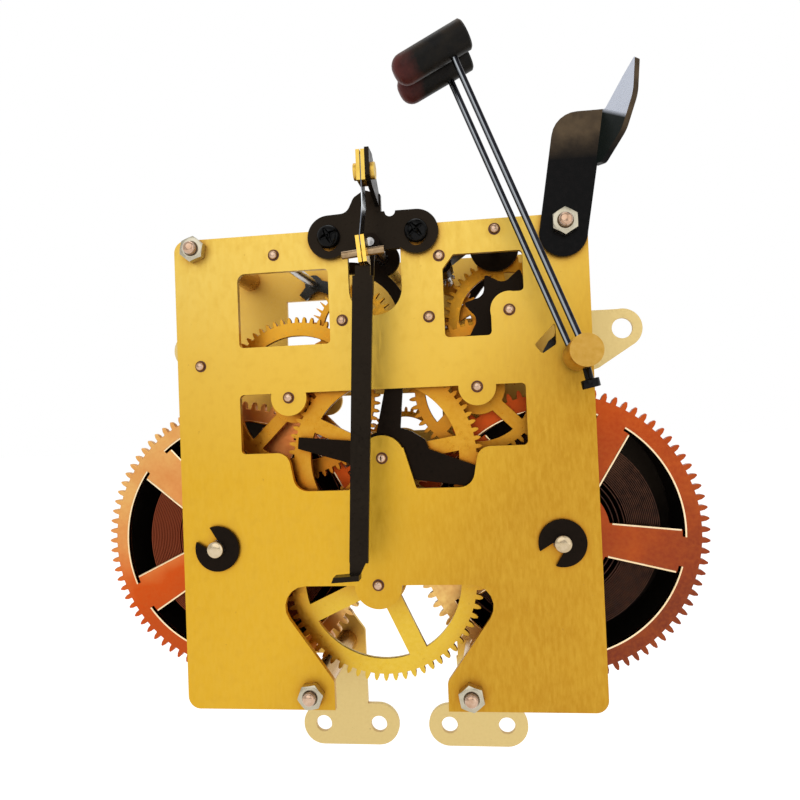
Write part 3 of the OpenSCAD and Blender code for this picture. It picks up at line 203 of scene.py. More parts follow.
def painted_crevice_shade(tree, colour, reach, most):
    """A colour painted toward a warm lacquer brown in corners and under whatever lies close above it: painted
    shade.
    """
    node = tree.nodes.new("ShaderNodeAmbientOcclusion")
    node.samples = CREVICE_SAMPLES
    node.inputs["Distance"].default_value = reach
    return mixed(tree, spread(tree, node.outputs["AO"], *CREVICE_EDGES, most, 0.0), colour, PAINTED_SHADE_LACQUER)


def math_node(tree, operation, first, second=None):
    node = tree.nodes.new("ShaderNodeMath")
    node.operation = operation
    link(tree, first, node.inputs[0])
    if second is not None:
        link(tree, second, node.inputs[1])
    return node.outputs["Value"]


def measure(tree, value):
    """A value's size, whatever its sign."""
    return math_node(tree, "ABSOLUTE", value)


def product(tree, first, second):
    return math_node(tree, "MULTIPLY", first, second)


def larger(tree, first, second):
    return math_node(tree, "MAXIMUM", first, second)


def swayed(tree, reach, cloud, most):
    """A distance made uneven by a noise."""
    node = tree.nodes.new("ShaderNodeMath")
    node.operation = "MULTIPLY_ADD"
    link(tree, cloud, node.inputs[0])
    node.inputs[1].default_value = most
    link(tree, reach, node.inputs[2])
    return node.outputs["Value"]


def along(tree, place, start, way):
    """How far a point lies from a start along a direction, in metres."""
    shift = tree.nodes.new("ShaderNodeVectorMath")
    shift.operation = "SUBTRACT"
    link(tree, place, shift.inputs[0])
    shift.inputs[1].default_value = start
    dot = tree.nodes.new("ShaderNodeVectorMath")
    dot.operation = "DOT_PRODUCT"
    link(tree, shift.outputs["Vector"], dot.inputs[0])
    dot.inputs[1].default_value = way
    return dot.outputs["Value"]


def faced(tree, way, normal="True Normal"):
    """How much a surface faces a direction, from -1 to 1."""
    return along(tree, tree.nodes.new("ShaderNodeNewGeometry").outputs[normal], ORIGIN, way)


def surface(tree, shader, colour, fine, rough, bump, metallic=1.0, depth=RELIEF, relief=None):
    """Gives a shader its colour, a gloss that varies with a fine noise, and a slight relief."""
    link(tree, colour, shader.inputs["Base Color"])
    shader.inputs["Metallic"].default_value = metallic
    link(tree, spread(tree, fine, *GLOSS_EDGES, *rough), shader.inputs["Roughness"])
    node = tree.nodes.new("ShaderNodeBump")
    node.inputs["Strength"].default_value = bump
    node.inputs["Distance"].default_value = depth
    link(tree, fine if relief is None else relief, node.inputs["Height"])
    link(tree, node.outputs["Normal"], shader.inputs["Normal"])


# Plain metals

def metal(name, tones, rough, metallic=1.0, grain=(1, 1, 1), speck=None, bump=0.1, patch_scale=45,
          gloss=0.5, sheen=(1, 1, 1), with_painted_shade=False):
    """A metal of three tones in soft patches, with fine grain, dark specks, uneven gloss and, where asked,
    painted shade in corners.
    """
    material, tree, shader, place = fresh(name)
    patch = spread(tree, noise(tree, place, patch_scale, 5), *PATCH_EDGES)
    fine = noise(tree, place, METAL_GRAIN, 6, grain)
    colour = mixed(tree, patch, tones[0], tones[1])
    colour = grained(tree, fine, colour, tones[2], 0.5)
    if speck:
        colour = specked(tree, place, colour, speck, scale=1300, edges=(0.70, 0.80), most=0.6)
    # Painted shade: corners and places under nearby parts turn toward lacquer brown
    if with_painted_shade:
        colour = painted_crevice_shade(tree, colour, CREVICE_WIDE, 0.85)
    shader.inputs["Specular IOR Level"].default_value = gloss
    shader.inputs["Specular Tint"].default_value = (*sheen, 1)
    surface(tree, shader, colour, fine, rough, bump, metallic, depth=METAL_RELIEF)
    return material


WARM = (1.0, 0.72, 0.5)
# Wheels get painted shade in their corners and under the parts close above them
WHEEL = dict(rough=(0.26, 0.42), speck=(0.3, 0.14, 0.03), bump=0.08, patch_scale=90, with_painted_shade=True)

wheel_brass = metal("wheel_brass", ((0.49, 0.225, 0.016), (0.57, 0.285, 0.024), (0.67, 0.385, 0.05)), **WHEEL)
wheel_pale = metal("wheel_pale", ((0.58, 0.36, 0.030), (0.65, 0.43, 0.045), (0.74, 0.52, 0.085)), **WHEEL)
hub_brass = metal("hub_brass", ((0.45, 0.235, 0.032), (0.51, 0.285, 0.048), (0.58, 0.36, 0.10)),
                  (0.28, 0.4), grain=(1, 6, 1), bump=0.08)
lip_brass = metal("lip_brass", ((0.78, 0.56, 0.30), (0.84, 0.65, 0.40), (0.92, 0.78, 0.56)),
                  (0.1, 0.2), bump=0.03)
arbor_steel = metal("arbor_steel", ((0.36, 0.35, 0.34), (0.46, 0.45, 0.44), (0.58, 0.56, 0.54)),
                    (0.18, 0.32), grain=(1, 0.1, 1), bump=0.05)
pivot_steel = metal("pivot_steel", ((0.40, 0.24, 0.15), (0.52, 0.35, 0.24), (0.66, 0.50, 0.38)),
                    (0.1, 0.2), bump=0.04)
end_steel = metal("end_steel", ((0.42, 0.32, 0.19), (0.52, 0.41, 0.26), (0.66, 0.55, 0.39)),
                  (0.12, 0.24), bump=0.05)
nut_steel = metal("nut_steel", ((0.36, 0.32, 0.23), (0.46, 0.42, 0.32), (0.58, 0.54, 0.44)),
                  (0.22, 0.36), speck=(0.25, 0.25, 0.2), bump=0.08, patch_scale=200)
black_steel = metal("black_steel", ((0.004, 0.0035, 0.003), (0.009, 0.007, 0.005), (0.018, 0.014, 0.010)),
                    (0.24, 0.4), metallic=0.0, bump=0.1, patch_scale=90, gloss=0.13, sheen=WARM)
black_inner = metal("black_inner", ((0.003, 0.0022, 0.002), (0.006, 0.004, 0.003), (0.012, 0.007, 0.005)),
                    (0.26, 0.4), metallic=0.0, bump=0.08, patch_scale=90, gloss=0.09, sheen=WARM)
screw_black = metal("screw_black", ((0.002, 0.002, 0.002), (0.003, 0.003, 0.003), (0.006, 0.005, 0.005)),
                    (0.1, 0.18), metallic=0.0, bump=0.04, patch_scale=120, gloss=0.1)
drum_black = metal("drum_black", ((0.005, 0.004, 0.004), (0.010, 0.008, 0.006), (0.018, 0.015, 0.012)),
                   (0.32, 0.46), metallic=0.0, bump=0.08, gloss=0.24, sheen=WARM)
# Dark red-brown for painted shade round the pivots
pivot_shade_brown = metal("pivot_shade_brown", ((0.07, 0.018, 0.006), (0.11, 0.03, 0.01), (0.17, 0.06, 0.02)),
                  (0.3, 0.45), metallic=0.4, bump=0.05)


# Finishes that vary over a part

def spring_finish():
    """The mainspring strip: streaks that run round with the turns and vary, redder at the left."""
    material, tree, shader, place = fresh("spring_steel")
    dark = (0.030, 0.012, 0.007)
    brown = (0.065, 0.026, 0.014)
    light = (0.095, 0.042, 0.022)
    red = (0.29, 0.055, 0.016)
    streak = noise(tree, place, 700, 6, (1, 0.08, 1))
    wide = noise(tree, place, 60, 3)
    left = spread(tree, along(tree, place, ORIGIN, LEFT), 0.0, 0.05, 0.0, 0.7)
    colour = mixed(tree, spread(tree, streak, 0.35, 0.65), dark, brown)
    colour = mixed(tree, spread(tree, wide, 0.45, 0.7, 0.0, 0.8), colour, light)
    colour = mixed(tree, left, colour, red)
    surface(tree, shader, colour, streak, (0.28, 0.45), 0.1, metallic=0.8, depth=0.00008)
    return material


def plate_finish():
    """The back plate: brass under lacquer, with a faint grain; paler towards the top as painted light and
    browner at the right as painted shade.
    """
    material, tree, shader, place = fresh("plate_brass")
    gold = (0.62, 0.35, 0.024)
    pale = (0.66, 0.465, 0.105)
    brown = (0.43, 0.21, 0.017)
    cloud_gold = (0.66, 0.39, 0.036)
    grain_gold = (0.74, 0.48, 0.065)
    mottle_brown = (0.50, 0.27, 0.026)
    speck_brown = (0.36, 0.17, 0.03)
    # Where painted light starts to pale the plate, and where and which way painted shade starts to brown it
    painted_light_from = row(0, 55, 0)
    painted_shade_from = row(10, 70, 0)
    painted_shade_way = (0.9, 0, -0.6)
    # Painted light: paler towards the top
    up = spread(tree, along(tree, place, painted_light_from, UP), 0.0, 0.055)
    # Painted shade: browner towards the lower right
    right = spread(tree, along(tree, place, painted_shade_from, painted_shade_way), 0.0, 0.034)
    cloud = noise(tree, place, 26, 4)
    fine = noise(tree, place, 1500, 5, (1, 1, 0.3))
    mottle = noise(tree, place, 420, 6)
    colour = mixed(tree, up, gold, pale)
    colour = mixed(tree, right, colour, brown)
    colour = mixed(tree, spread(tree, cloud, *TONE_EDGES, 0.0, 0.35), colour, cloud_gold)
    colour = grained(tree, fine, colour, grain_gold, 0.3)
    colour = mixed(tree, spread(tree, mottle, 0.5, 0.75, 0.0, 0.2), colour, mottle_brown)
    colour = specked(tree, place, colour, speck_brown)
    # Painted shade in corners and under nearby parts
    colour = painted_crevice_shade(tree, colour, CREVICE_NARROW, 0.7)
    surface(tree, shader, colour, fine, (0.38, 0.5), 0.08)
    return material


def front_finish():
    """The front plate: gold between the plates, pale where it stands out past the back plate."""
    material, tree, shader, place = fresh("front_brass")
    dull_gold = (0.60, 0.36, 0.06)
    gold = (0.70, 0.45, 0.09)
    grain_gold = (0.74, 0.52, 0.16)
    pale = (0.66, 0.50, 0.21)
    speck_brown = (0.34, 0.24, 0.10)
    cloud = noise(tree, place, 40, 5)
    fine = noise(tree, place, 1300, 5)
    lug = spread(tree, measure(tree, along(tree, place, ORIGIN, RIGHT)), 0.0495, 0.0525)
    foot = spread(tree, along(tree, place, row(0, 0, 0), DOWN), 0.0, 0.003)
    colour = two_tones(tree, cloud, dull_gold, gold)
    colour = grained(tree, fine, colour, grain_gold, 0.3)
    colour = mixed(tree, larger(tree, lug, foot), colour, pale)
    colour = specked(tree, place, colour, speck_brown)
    # Painted shade in corners and under nearby parts
    colour = painted_crevice_shade(tree, colour, CREVICE_WIDE, 0.7)
    surface(tree, shader, colour, fine, (0.4, 0.54), 0.1)
    return material


def great_finish():
    """The great wheels: coppery plating that runs from pale gold through orange to red-brown; the pale gold
    towards the upper left is painted highlight.
    """
    material, tree, shader, place = fresh("copper_brass")
    orange = (0.57, 0.075, 0.008)
    gold = (0.74, 0.44, 0.14)
    brown = (0.17, 0.036, 0.018)
    inner_gold = (0.74, 0.47, 0.15)
    patch_red = (0.52, 0.105, 0.016)
    grain_orange = (0.58, 0.15, 0.03)
    cloud = noise(tree, place, 38, 5)
    fine = noise(tree, place, 1100, 5)
    wheel_middle = row(-41, 39, 0)
    # Way towards the painted highlight at the upper left
    painted_highlight_way = (-0.5, 0, 0.86)
    reach = swayed(tree, along(tree, place, wheel_middle, painted_highlight_way), cloud, 0.05)
    inner = spread(tree, measure(tree, along(tree, place, ORIGIN, RIGHT)), 0.029, 0.015)
    low = spread(tree, along(tree, place, row(0, 45, 0), DOWN), 0.0, 0.008)
    patch = spread(tree, noise(tree, place, 90, 4), 0.48, 0.75, 0.0, 0.4)
    colour = mixed(tree, spread(tree, reach, 0.026, 0.062), orange, gold)
    colour = mixed(tree, spread(tree, reach, -0.045, 0.035, 1.0, 0.0), colour, brown)
    colour = mixed(tree, product(tree, inner, low), colour, inner_gold)
    colour = mixed(tree, patch, colour, patch_red)
    colour = grained(tree, fine, colour, grain_orange, 0.2)
    surface(tree, shader, colour, fine, (0.3, 0.44), 0.08)
    return material


def head_finish():
    """Hammer heads: black, with a mottled painted brown sheen on top, and a red-brown striking end."""
    material, tree, shader, place = fresh("head_black")
    # Brown of the painted sheen on top
    painted_sheen_brown = (0.085, 0.05, 0.024)
    red = (0.135, 0.032, 0.028)
    striking = (-math.cos(ROD_LEAN + HEAD_TILT), 0, -math.sin(ROD_LEAN + HEAD_TILT))
    middle = row(HAMMER_AT[0] - ROD_REACH * math.sin(ROD_LEAN),
                 HAMMER_AT[1] + ROD_REACH * math.cos(ROD_LEAN), 0)
    rod_way = (-math.sin(ROD_LEAN), 0, math.cos(ROD_LEAN))
    cloud = noise(tree, place, 350, 5)
    end = swayed(tree, along(tree, place, middle, striking), cloud, 0.006)
    # Painted sheen: brown patches on the side of the heads that faces up
    upper = spread(tree, faced(tree, rod_way), 0.0, 0.7, 0.0, 0.75)
    painted_top_sheen = product(tree, upper, spread(tree, noise(tree, place, 220, 4), 0.36, 0.6))
    colour = two_tones(tree, cloud, (0.004, 0.0035, 0.003), (0.014, 0.011, 0.008))
    colour = mixed(tree, painted_top_sheen, colour, painted_sheen_brown)
    colour = mixed(tree, spread(tree, end, 0.0105, 0.0165), colour, red)
    shader.inputs["Specular IOR Level"].default_value = 0.1
    surface(tree, shader, colour, cloud, (0.3, 0.46), 0.25, metallic=0.0, depth=METAL_RELIEF,
            relief=noise(tree, place, 1800, 5))
    return material


def rod_finish():
    """Hammer rods: dark wire with a high polish, and a painted highlight streak along each, on the side that
    faces left.
    """
    material, tree, shader, place = fresh("rod_steel")
    light = (0.30, 0.32, 0.34)
    # Painted highlight: a light streak where the rod's side faces left
    left = faced(tree, (-math.cos(ROD_LEAN), 0, -math.sin(ROD_LEAN)), "Normal")
    streak = product(tree, spread(tree, left, 0.0, 0.25), spread(tree, left, 0.75, 0.5))
    fine = noise(tree, place, 900, 5)
    colour = two_tones(tree, fine, (0.008, 0.008, 0.011), (0.022, 0.022, 0.027))
    colour = mixed(tree, streak, colour, light)
    surface(tree, shader, colour, fine, (0.14, 0.24), 0.03)
    return material


def pillar_finish():
    """Pillars: brass between the plates, steel where the studs stand out."""
    material, tree, shader, place = fresh("pillar_metal")
    fine = noise(tree, place, 700, 5, (1, 0.15, 1))
    brass = two_tones(tree, fine, (0.40, 0.22, 0.06), (0.58, 0.36, 0.12))
    steel = two_tones(tree, fine, (0.5, 0.42, 0.38), (0.68, 0.6, 0.56))
    behind = spread(tree, along(tree, place, row(0, 0, 0), INWARD), -0.0001, 0.0001, 1.0, 0.0)
    before = spread(tree, along(tree, place, row(0, 0, DEPTH), INWARD), -0.0001, 0.0001)
    colour = mixed(tree, larger(tree, behind, before), brass, steel)
    surface(tree, shader, colour, fine, (0.18, 0.34), 0.06)
    return material


def hook_finish():
    """The hook: blackened steel; painted sheen makes the top of its strap browner, painted shade darkens its
    flange and a painted reflection brightens its horn.
    """
    material, tree, shader, place = fresh("hook_metal")
    flange_painted_shade = (0.012, 0.016, 0.014)
    horn_painted_reflection = (0.66, 0.70, 0.80)
    fold_way = Vector((math.sin(FOLD_LEAN), 0, math.cos(FOLD_LEAN)))
    flange_way = Vector((math.cos(HOOK_TURN) * math.cos(FOLD_LEAN), -math.sin(HOOK_TURN),
                         -math.cos(HOOK_TURN) * math.sin(FOLD_LEAN)))
    horn_way = (0, -0.63, 1)
    nut_at = row(*UPPER, 0)
    fine = noise(tree, place, 700, 5)
    # Mottle of the painted brown sheen
    painted_sheen_mottle = spread(tree, noise(tree, place, 260, 5), 0.35, 0.65)
    up = along(tree, place, nut_at, UP)
    black = two_tones(tree, fine, (0.002, 0.002, 0.002), (0.006, 0.005, 0.005))
    brown = mixed(tree, painted_sheen_mottle, (0.07, 0.048, 0.030), (0.135, 0.092, 0.052))
    flange = spread(tree, measure(tree, faced(tree, flange_way.cross(fold_way))), 0.75, 0.9)
    bright = spread(tree, along(tree, place, nut_at, horn_way), 0.0255, 0.0266)
    horn = product(tree, flange, bright)
    # Painted sheen: browner towards the top of the strap
    colour = mixed(tree, spread(tree, up, 0.0145, 0.0205), black, brown)
    # Painted shade: dark green on the flange
    colour = mixed(tree, product(tree, flange, spread(tree, up, 0.0, 0.001)), colour, flange_painted_shade)
    # Painted reflection: bright blue-grey on the horn
    colour = mixed(tree, horn, colour, horn_painted_reflection)
    shader.inputs["Specular IOR Level"].default_value = 0.06
    surface(tree, shader, colour, fine, (0.2, 0.32), 0.06)
    link(tree, spread(tree, horn, 0, 1, 0.0, 0.5), shader.inputs["Metallic"])
    return material


def split_finish(name, start, way, edges, near, far, rough, both_sides=False):
    """A finish that changes at a distance along a direction, or to both sides of a place."""
    material, tree, shader, place = fresh(name)
    fine = noise(tree, place, 800, 5)
    reach = along(tree, place, start, way)
    if both_sides:
        reach = measure(tree, reach)
    share = spread(tree, reach, *edges)
    near_tone, near_light, near_metallic = near
    far_tone, far_light, far_metallic = far
    colour = mixed(tree, share, two_tones(tree, fine, near_tone, near_light),
                   two_tones(tree, fine, far_tone, far_light))
    shader.inputs["Specular IOR Level"].default_value = 0.32
    surface(tree, shader, colour, fine, rough, 0.08)
    link(tree, spread(tree, share, 0, 1, near_metallic, far_metallic), shader.inputs["Metallic"])
    return material


spring_steel = spring_finish()
plate_brass = plate_finish()
front_brass = front_finish()
copper_brass = great_finish()
head_black = head_finish()
rod_steel = rod_finish()
pillar_metal = pillar_finish()
hook_metal = hook_finish()

# Two tones and the metallic share of each side of a split finish
BRIGHT = ((0.36, 0.35, 0.34), (0.56, 0.54, 0.52), 1.0)
BLACK = ((0.004, 0.0035, 0.003), (0.014, 0.011, 0.008), 0.0)
YELLOW = ((0.66, 0.40, 0.06), (0.76, 0.50, 0.10), 1.0)
TAN = ((0.20, 0.13, 0.07), (0.36, 0.25, 0.14), 1.0)
BLUED = ((0.07, 0.08, 0.10), (0.15, 0.16, 0.18), 1.0)
# Tones of a painted highlight band
PAINTED_HIGHLIGHT_STEEL = ((0.50, 0.53, 0.55), (0.66, 0.69, 0.71), 1.0)
STAR_MIDDLE = 7.4
LEVER_DEPTH = 39.3
# Height of the ribbon's painted highlight band
RIBBON_HIGHLIGHT_AT = 117.2
PIN_WAY = (math.cos(CHOPS_ASKEW - LEAN), 0, math.sin(CHOPS_ASKEW - LEAN))

lift_metal = split_finish("lift_metal", row(0, 0, LEVER_DEPTH), INWARD, (0.0, 0.0002),
                          BRIGHT, BLACK, (0.2, 0.36))
tail_metal = split_finish("tail_metal", row(0, 0, STAR_MIDDLE), INWARD, (0.0011, 0.0009),
                          BRIGHT, BLACK, (0.2, 0.36), both_sides=True)
# Painted highlight: a bright band across the ribbon at one height, blued steel elsewhere
ribbon_steel = split_finish("ribbon_steel", row(0, RIBBON_HIGHLIGHT_AT, 0), UP, (0.0012, 0.003),
                            PAINTED_HIGHLIGHT_STEEL, BLUED, (0.15, 0.25), both_sides=True)
chop_metal = split_finish("chop_metal", row(*leaning(0, PIN_HEIGHT), 0), PIN_WAY, (0.00104, 0.0011),
                          YELLOW, TAN, (0.16, 0.3), both_sides=True)

FINISH = {
    plate_brass: "back_plate suspension_chops",
    chop_metal: "leader_chops",
    tail_metal: "hammer_arbor",
    front_brass: "front_plate",
    wheel_pale: "intermediate_wheel",
    wheel_brass: "centre_wheel third_wheel third_arbor escape_wheel second_wheel star_wheel "
                 "locking_wheel cannon_pinion minute_wheel hour_wheel",
    copper_brass: "time_great_wheel strike_great_wheel",
    hub_brass: "hammer_hub",
    arbor_steel: "intermediate_arbor centre_arbor escape_arbor pallet_arbor second_arbor star_arbor "
                 "locking_arbor fly_arbor time_winding_arbor strike_winding_arbor time_ratchet_wheel "
                 "strike_ratchet_wheel studs click_screws click_springs",
    lift_metal: "lift_lever",
    rod_steel: "hammer_rods",
    nut_steel: "rear_nuts front_nuts",
    hook_metal: "hook_bracket",
    screw_black: "suspension_screws hub_screw",
    black_steel: "suspension_bracket pendulum_leader",
    black_inner: "time_arbor_clip strike_arbor_clip time_click strike_click anchor crutch lifting_star "
                 "fly strike_lever lock_lever",
    drum_black: "time_barrel_drum strike_barrel_drum",
    spring_steel: "time_mainspring strike_mainspring",
    ribbon_steel: "suspension_spring",
    head_black: "hammer_heads",
    pillar_metal: "pillars",
}
for material, names in FINISH.items():
    for name in names.split():
        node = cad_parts[name]
        node.data.materials.clear()
        node.data.materials.append(material)


# Softened edges of the solids

WELD = 0.000002
FLAT_WITHIN = math.radians(0.4)
SHARP_FROM = math.radians(35)
PLATE_EDGE = 0.15
GREAT_EDGE = 0.2
WHEEL_EDGE = 0.1


def soften(names, width):
    """Bevels a solid's sharp edges, so that they catch the light."""
    for name in names.split():
        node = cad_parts[name]
        weld = node.modifiers.new("weld", "WELD")
        weld.merge_threshold = WELD
        flat = node.modifiers.new("flat", "DECIMATE")
        flat.decimate_type = "DISSOLVE"
        flat.angle_limit = FLAT_WITHIN
        bevel = node.modifiers.new("bevel", "BEVEL")
        bevel.width = width * MM
        bevel.segments = 2
        bevel.limit_method = "ANGLE"
        bevel.angle_limit = SHARP_FROM
        bevel.harden_normals = True


soften("back_plate front_plate suspension_bracket hook_bracket pendulum_leader time_arbor_clip "
       "strike_arbor_clip hammer_hub strike_lever lifting_star crutch suspension_screws lock_lever anchor "
       "hub_screw", PLATE_EDGE)
soften("time_great_wheel strike_great_wheel", GREAT_EDGE)
soften("centre_wheel intermediate_wheel third_wheel second_wheel star_wheel escape_wheel locking_wheel",
       WHEEL_EDGE)


# Mesh helpers for new pieces

SHADE_SHARP = math.radians(40)


def piece(name, build, material, body, smooth=True):
    """A mesh piece that moves with a body, or is left unattached where none is given."""
    mesh = bpy.data.meshes.new(name)
    work = bmesh.new()
    build(work)
    bmesh.ops.recalc_face_normals(work, faces=work.faces)
    work.to_mesh(mesh)
    work.free()
    for face in mesh.polygons:
        face.use_smooth = smooth
    mesh.materials.append(material)
    thing = bpy.data.objects.new(name, mesh)
    bpy.context.scene.collection.objects.link(thing)
    if smooth:
        thing.data.set_sharp_from_angle(angle=SHADE_SHARP)
    if body:
        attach(thing, body)
    return thing


def rings(work, loops, round_trip=False):
    """Skins a row of equal loops, where a loop of one point is a tip.

    A round trip joins the last loop to the first; otherwise the ends are closed.
    """
    made = [[work.verts.new(p) for p in loop] for loop in loops]
    if round_trip:
        made.append(made[0])
    for first, second in zip(made, made[1:]):
        count = max(len(first), len(second))
        for i in range(count):
            j = (i + 1) % count
            corners = [first[i % len(first)], first[j % len(first)],
                       second[j % len(second)], second[i % len(second)]]
            work.faces.new(list(dict.fromkeys(corners)))
    if not round_trip:
        for loop in (made[0], made[-1]):
            if len(loop) > 2:
                work.faces.new(loop)


def ring(at, radius, depth, steps):
    """A loop round an arbor; its radius and depth are functions of the angle."""
    loop = []
    for i in range(steps):
        t = 2 * math.pi * i / steps
        r = radius(t)
        loop.append(row(at[0] + r * math.cos(t), at[1] + r * math.sin(t), depth(t)))
    return loop


def circle(at, radius, depth, steps):
    return ring(at, lambda t: radius, lambda t: depth, steps)


def lathe(work, at, profile, steps, round_trip=False):
    """Turns a profile of radius and depth about an arbor's axis; a radius of 0 is a tip."""
    loops = []
    for radius, depth in profile:
        if radius == 0:
            loops.append([row(*at, depth)])
        else:
            loops.append(circle(at, radius, depth, steps))
    rings(work, loops, round_trip)


# Nuts: place, seat and turn in degrees of each one behind the back plate
PILLARS = (
    ((-UPPER[0], UPPER[1]), 0.0, 50),
    (UPPER, -BRACKET, 60),
    ((-LOWER[0], LOWER[1]), 0.0, 38),
    (LOWER, 0.0, 70),
)
FRONT_TURN = 30
FRONT_TURN_STEP = 13
NUT_STEPS = 72
NUT_CHAMFER = 0.97
NUT_SLOPE = 0.6
NUT_BORE = STUD_R + 0.02
SEAT_SINK = 0.3
OUTER_SINK = 0.35


def nut(work, at, face, way, turn):
    """A chamfered hexagon nut; face is the depth of its seat and way the side that it stands to."""
    flat = NUT_FLATS / 2
    chamfer = flat * NUT_CHAMFER

    def corner(t):
        local = (t - turn + math.pi / 6) % (math.pi / 3) - math.pi / 6
        return flat / math.cos(local)

    def drop(t):
        return max(0.0, corner(t) - chamfer) * NUT_SLOPE

    def level(radius, height):
        return circle(at, radius, face + way * height, NUT_STEPS)

    rings(work, [
        level(NUT_BORE, SEAT_SINK),
        level(NUT_BORE + SEAT_SINK, 0.0),
        level(chamfer, 0.0),
        ring(at, corner, lambda t: face + way * drop(t), NUT_STEPS),
        ring(at, corner, lambda t: face + way * (NUT_THICK - drop(t)), NUT_STEPS),
        level(chamfer, NUT_THICK),
        level(NUT_BORE + OUTER_SINK, NUT_THICK),
        level(NUT_BORE, NUT_THICK - OUTER_SINK),
    ], round_trip=True)


def rear_nuts(work):
    for at, seat, turn in PILLARS:
        nut(work, at, seat, -1, math.radians(turn))


def front_nuts(work):
    for i, (at, _, _) in enumerate(PILLARS):
        nut(work, at, DEPTH, 1, math.radians(FRONT_TURN + FRONT_TURN_STEP * i))


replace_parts(piece("nuts_behind", rear_nuts, nut_steel, "frame"), "rear_nuts")
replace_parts(piece("nuts_before", front_nuts, nut_steel, "frame"), "front_nuts")

# Stud ends: a thread, then a rounded tip given by steps out from the stud's skin and past its end
STUD_SKIN = STUD_R + 0.015
STUD_FOOT = 0.2
THREAD_FROM = 0.1
THREAD_LEFT = 0.3
THREAD_PITCH = 0.45
THREAD_RISE = 0.09
STUD_TIP = ((0.0, -0.15), (-0.1, 0.12), (-0.45, 0.34), (-0.9, 0.44))
STUD_TOP = 0.47
STUD_STEPS = 36


def stud_end(work, at, root, way):
    """A threaded stud end with a rounded tip over the plain stud."""
    profile = [(STUD_SKIN - STUD_FOOT, root), (STUD_SKIN, root)]
    for i in range(int((STUD_PAST - THREAD_LEFT) / THREAD_PITCH)):
        low = THREAD_FROM + i * THREAD_PITCH
        profile.append((STUD_SKIN, root + way * low))
        profile.append((STUD_SKIN + THREAD_RISE, root + way * (low + THREAD_PITCH / 2)))
    end = root + way * STUD_PAST
    profile += [(STUD_SKIN + out, end + way * past) for out, past in STUD_TIP]
    profile.append((0, end + way * STUD_TOP))
    lathe(work, at, profile, STUD_STEPS)


def stud_ends(work):
    for at, seat, _ in PILLARS:
        stud_end(work, at, seat - NUT_THICK, -1)
        stud_end(work, at, DEPTH + NUT_THICK, 1)


piece("stud_ends", stud_ends, pivot_steel, "frame")

# Rounded ends of pivots, as shares of the radius and of the height
DOME = ((1.0, 0.1), (0.93, 0.42), (0.75, 0.74), (0.45, 0.94))
DOME_SKIN = 0.01
DOME_FOOT = 0.12
DOME_LIP = 0.15
DOME_STEPS = 28
REAR_DOME = 0.55
FRONT_DOME = 0.4
WINDING_DOME = 0.6


def dome(work, at, end, way, radius, height):
    """A rounded end on a pivot."""
    skin = radius + DOME_SKIN
    foot = end - way * DOME_FOOT
    profile = [(skin - DOME_LIP, foot), (skin, foot)]
    profile += [(skin * wide, end + way * height * high) for wide, high in DOME]
    profile.append((0, end + way * height))
    lathe(work, at, profile, DOME_STEPS)


def pivot_ends(at, in_front):
    """Builds an arbor's end behind the back plate and, where it ends there, before the front plate."""
    def build(work):
        dome(work, at, -PIVOT_PAST, -1, PIVOT_R, REAR_DOME)
        if in_front:
            dome(work, at, DEPTH + PIVOT_PAST, 1, PIVOT_R, FRONT_DOME)
    return build


def winding_end(at):
    def build(work):
        dome(work, at, WINDING_END, -1, WINDING_R, WINDING_DOME)
    return build


for body, at in PIVOTS.items():
    piece("pivot_ends_" + body, pivot_ends(at, body != "centre"), pivot_steel, body)

# Painted shade: a dark ring that stands round each pivot in the back plate
SHADE_RING_INNER = PIVOT_R + 0.02
SHADE_RING_OUTER = 1.42
SHADE_RING_STEPS = 32
SHADE_RING_PROFILE = (
    (SHADE_RING_INNER, -0.02),
    (SHADE_RING_OUTER - 0.1, -0.03),
    (SHADE_RING_OUTER, -0.005),
    (SHADE_RING_OUTER - 0.05, 0.1),
    (SHADE_RING_INNER, 0.1),
)


def pivot_shade_rings(work):
    for at in (*PIVOTS.values(), STOP_AT):
        lathe(work, at, SHADE_RING_PROFILE, SHADE_RING_STEPS, round_trip=True)


# Rings of painted shade round the pivots
piece("pivot_shade_rings", pivot_shade_rings, pivot_shade_brown, "frame")
piece("stop_post_end", pivot_ends(STOP_AT, False), pivot_steel, "frame")
for body, at in (("time_winder", TIME_AT), ("strike_winder", STRIKE_AT)):
    piece("arbor_end_" + body, winding_end(at), end_steel, body)

# Suspension screws: domed heads with a wide cross recess, by side and turn in degrees
SCREW_TURNS = ((-1, 25), (1, 38))
SCREW_SPAN = 21.0
SCREW_HEIGHT = 112.7
SCREW_R = 2.75
SCREW_RIM = 0.8
SCREW_DOME = 1.4
SHANK_R = 1.42
SHANK_START = 0.05 - BRACKET
SHANK_END = 3.1
SHANK_CHAMFER = (0.3, 0.25)
SHANK_STEPS = 32
HEAD_STEPS = 72
HEAD_RINGS = 19
CROSS_HALF = 0.66
CROSS_TAPER = 0.2
CROSS_REACH = 2.0
CROSS_DEEP = 1.5
CROSS_SLOPE = 0.55
CROSS_WALL = 0.16


def recess(across, up):
    """How deep the cross recess is at a place on the head."""
    deepest = 0.0
    for u, v in ((abs(across), abs(up)), (abs(up), abs(across))):
        if u < CROSS_REACH:
            wall = (CROSS_HALF - CROSS_TAPER * u - v) / CROSS_WALL
            deepest = max(deepest, (CROSS_DEEP - CROSS_SLOPE * u) * min(1.0, max(0.0, wall)))
    return deepest


def head_ring(at, radius, turn):
    """A loop of a domed screw head, sunk where its recess is."""
    top = -BRACKET - SCREW_RIM - SCREW_DOME * math.sqrt(1 - (radius / SCREW_R) ** 2)

    def depth(t):
        return top + recess(radius * math.cos(t - turn), radius * math.sin(t - turn))

    return ring(at, lambda t: radius, depth, HEAD_STEPS)


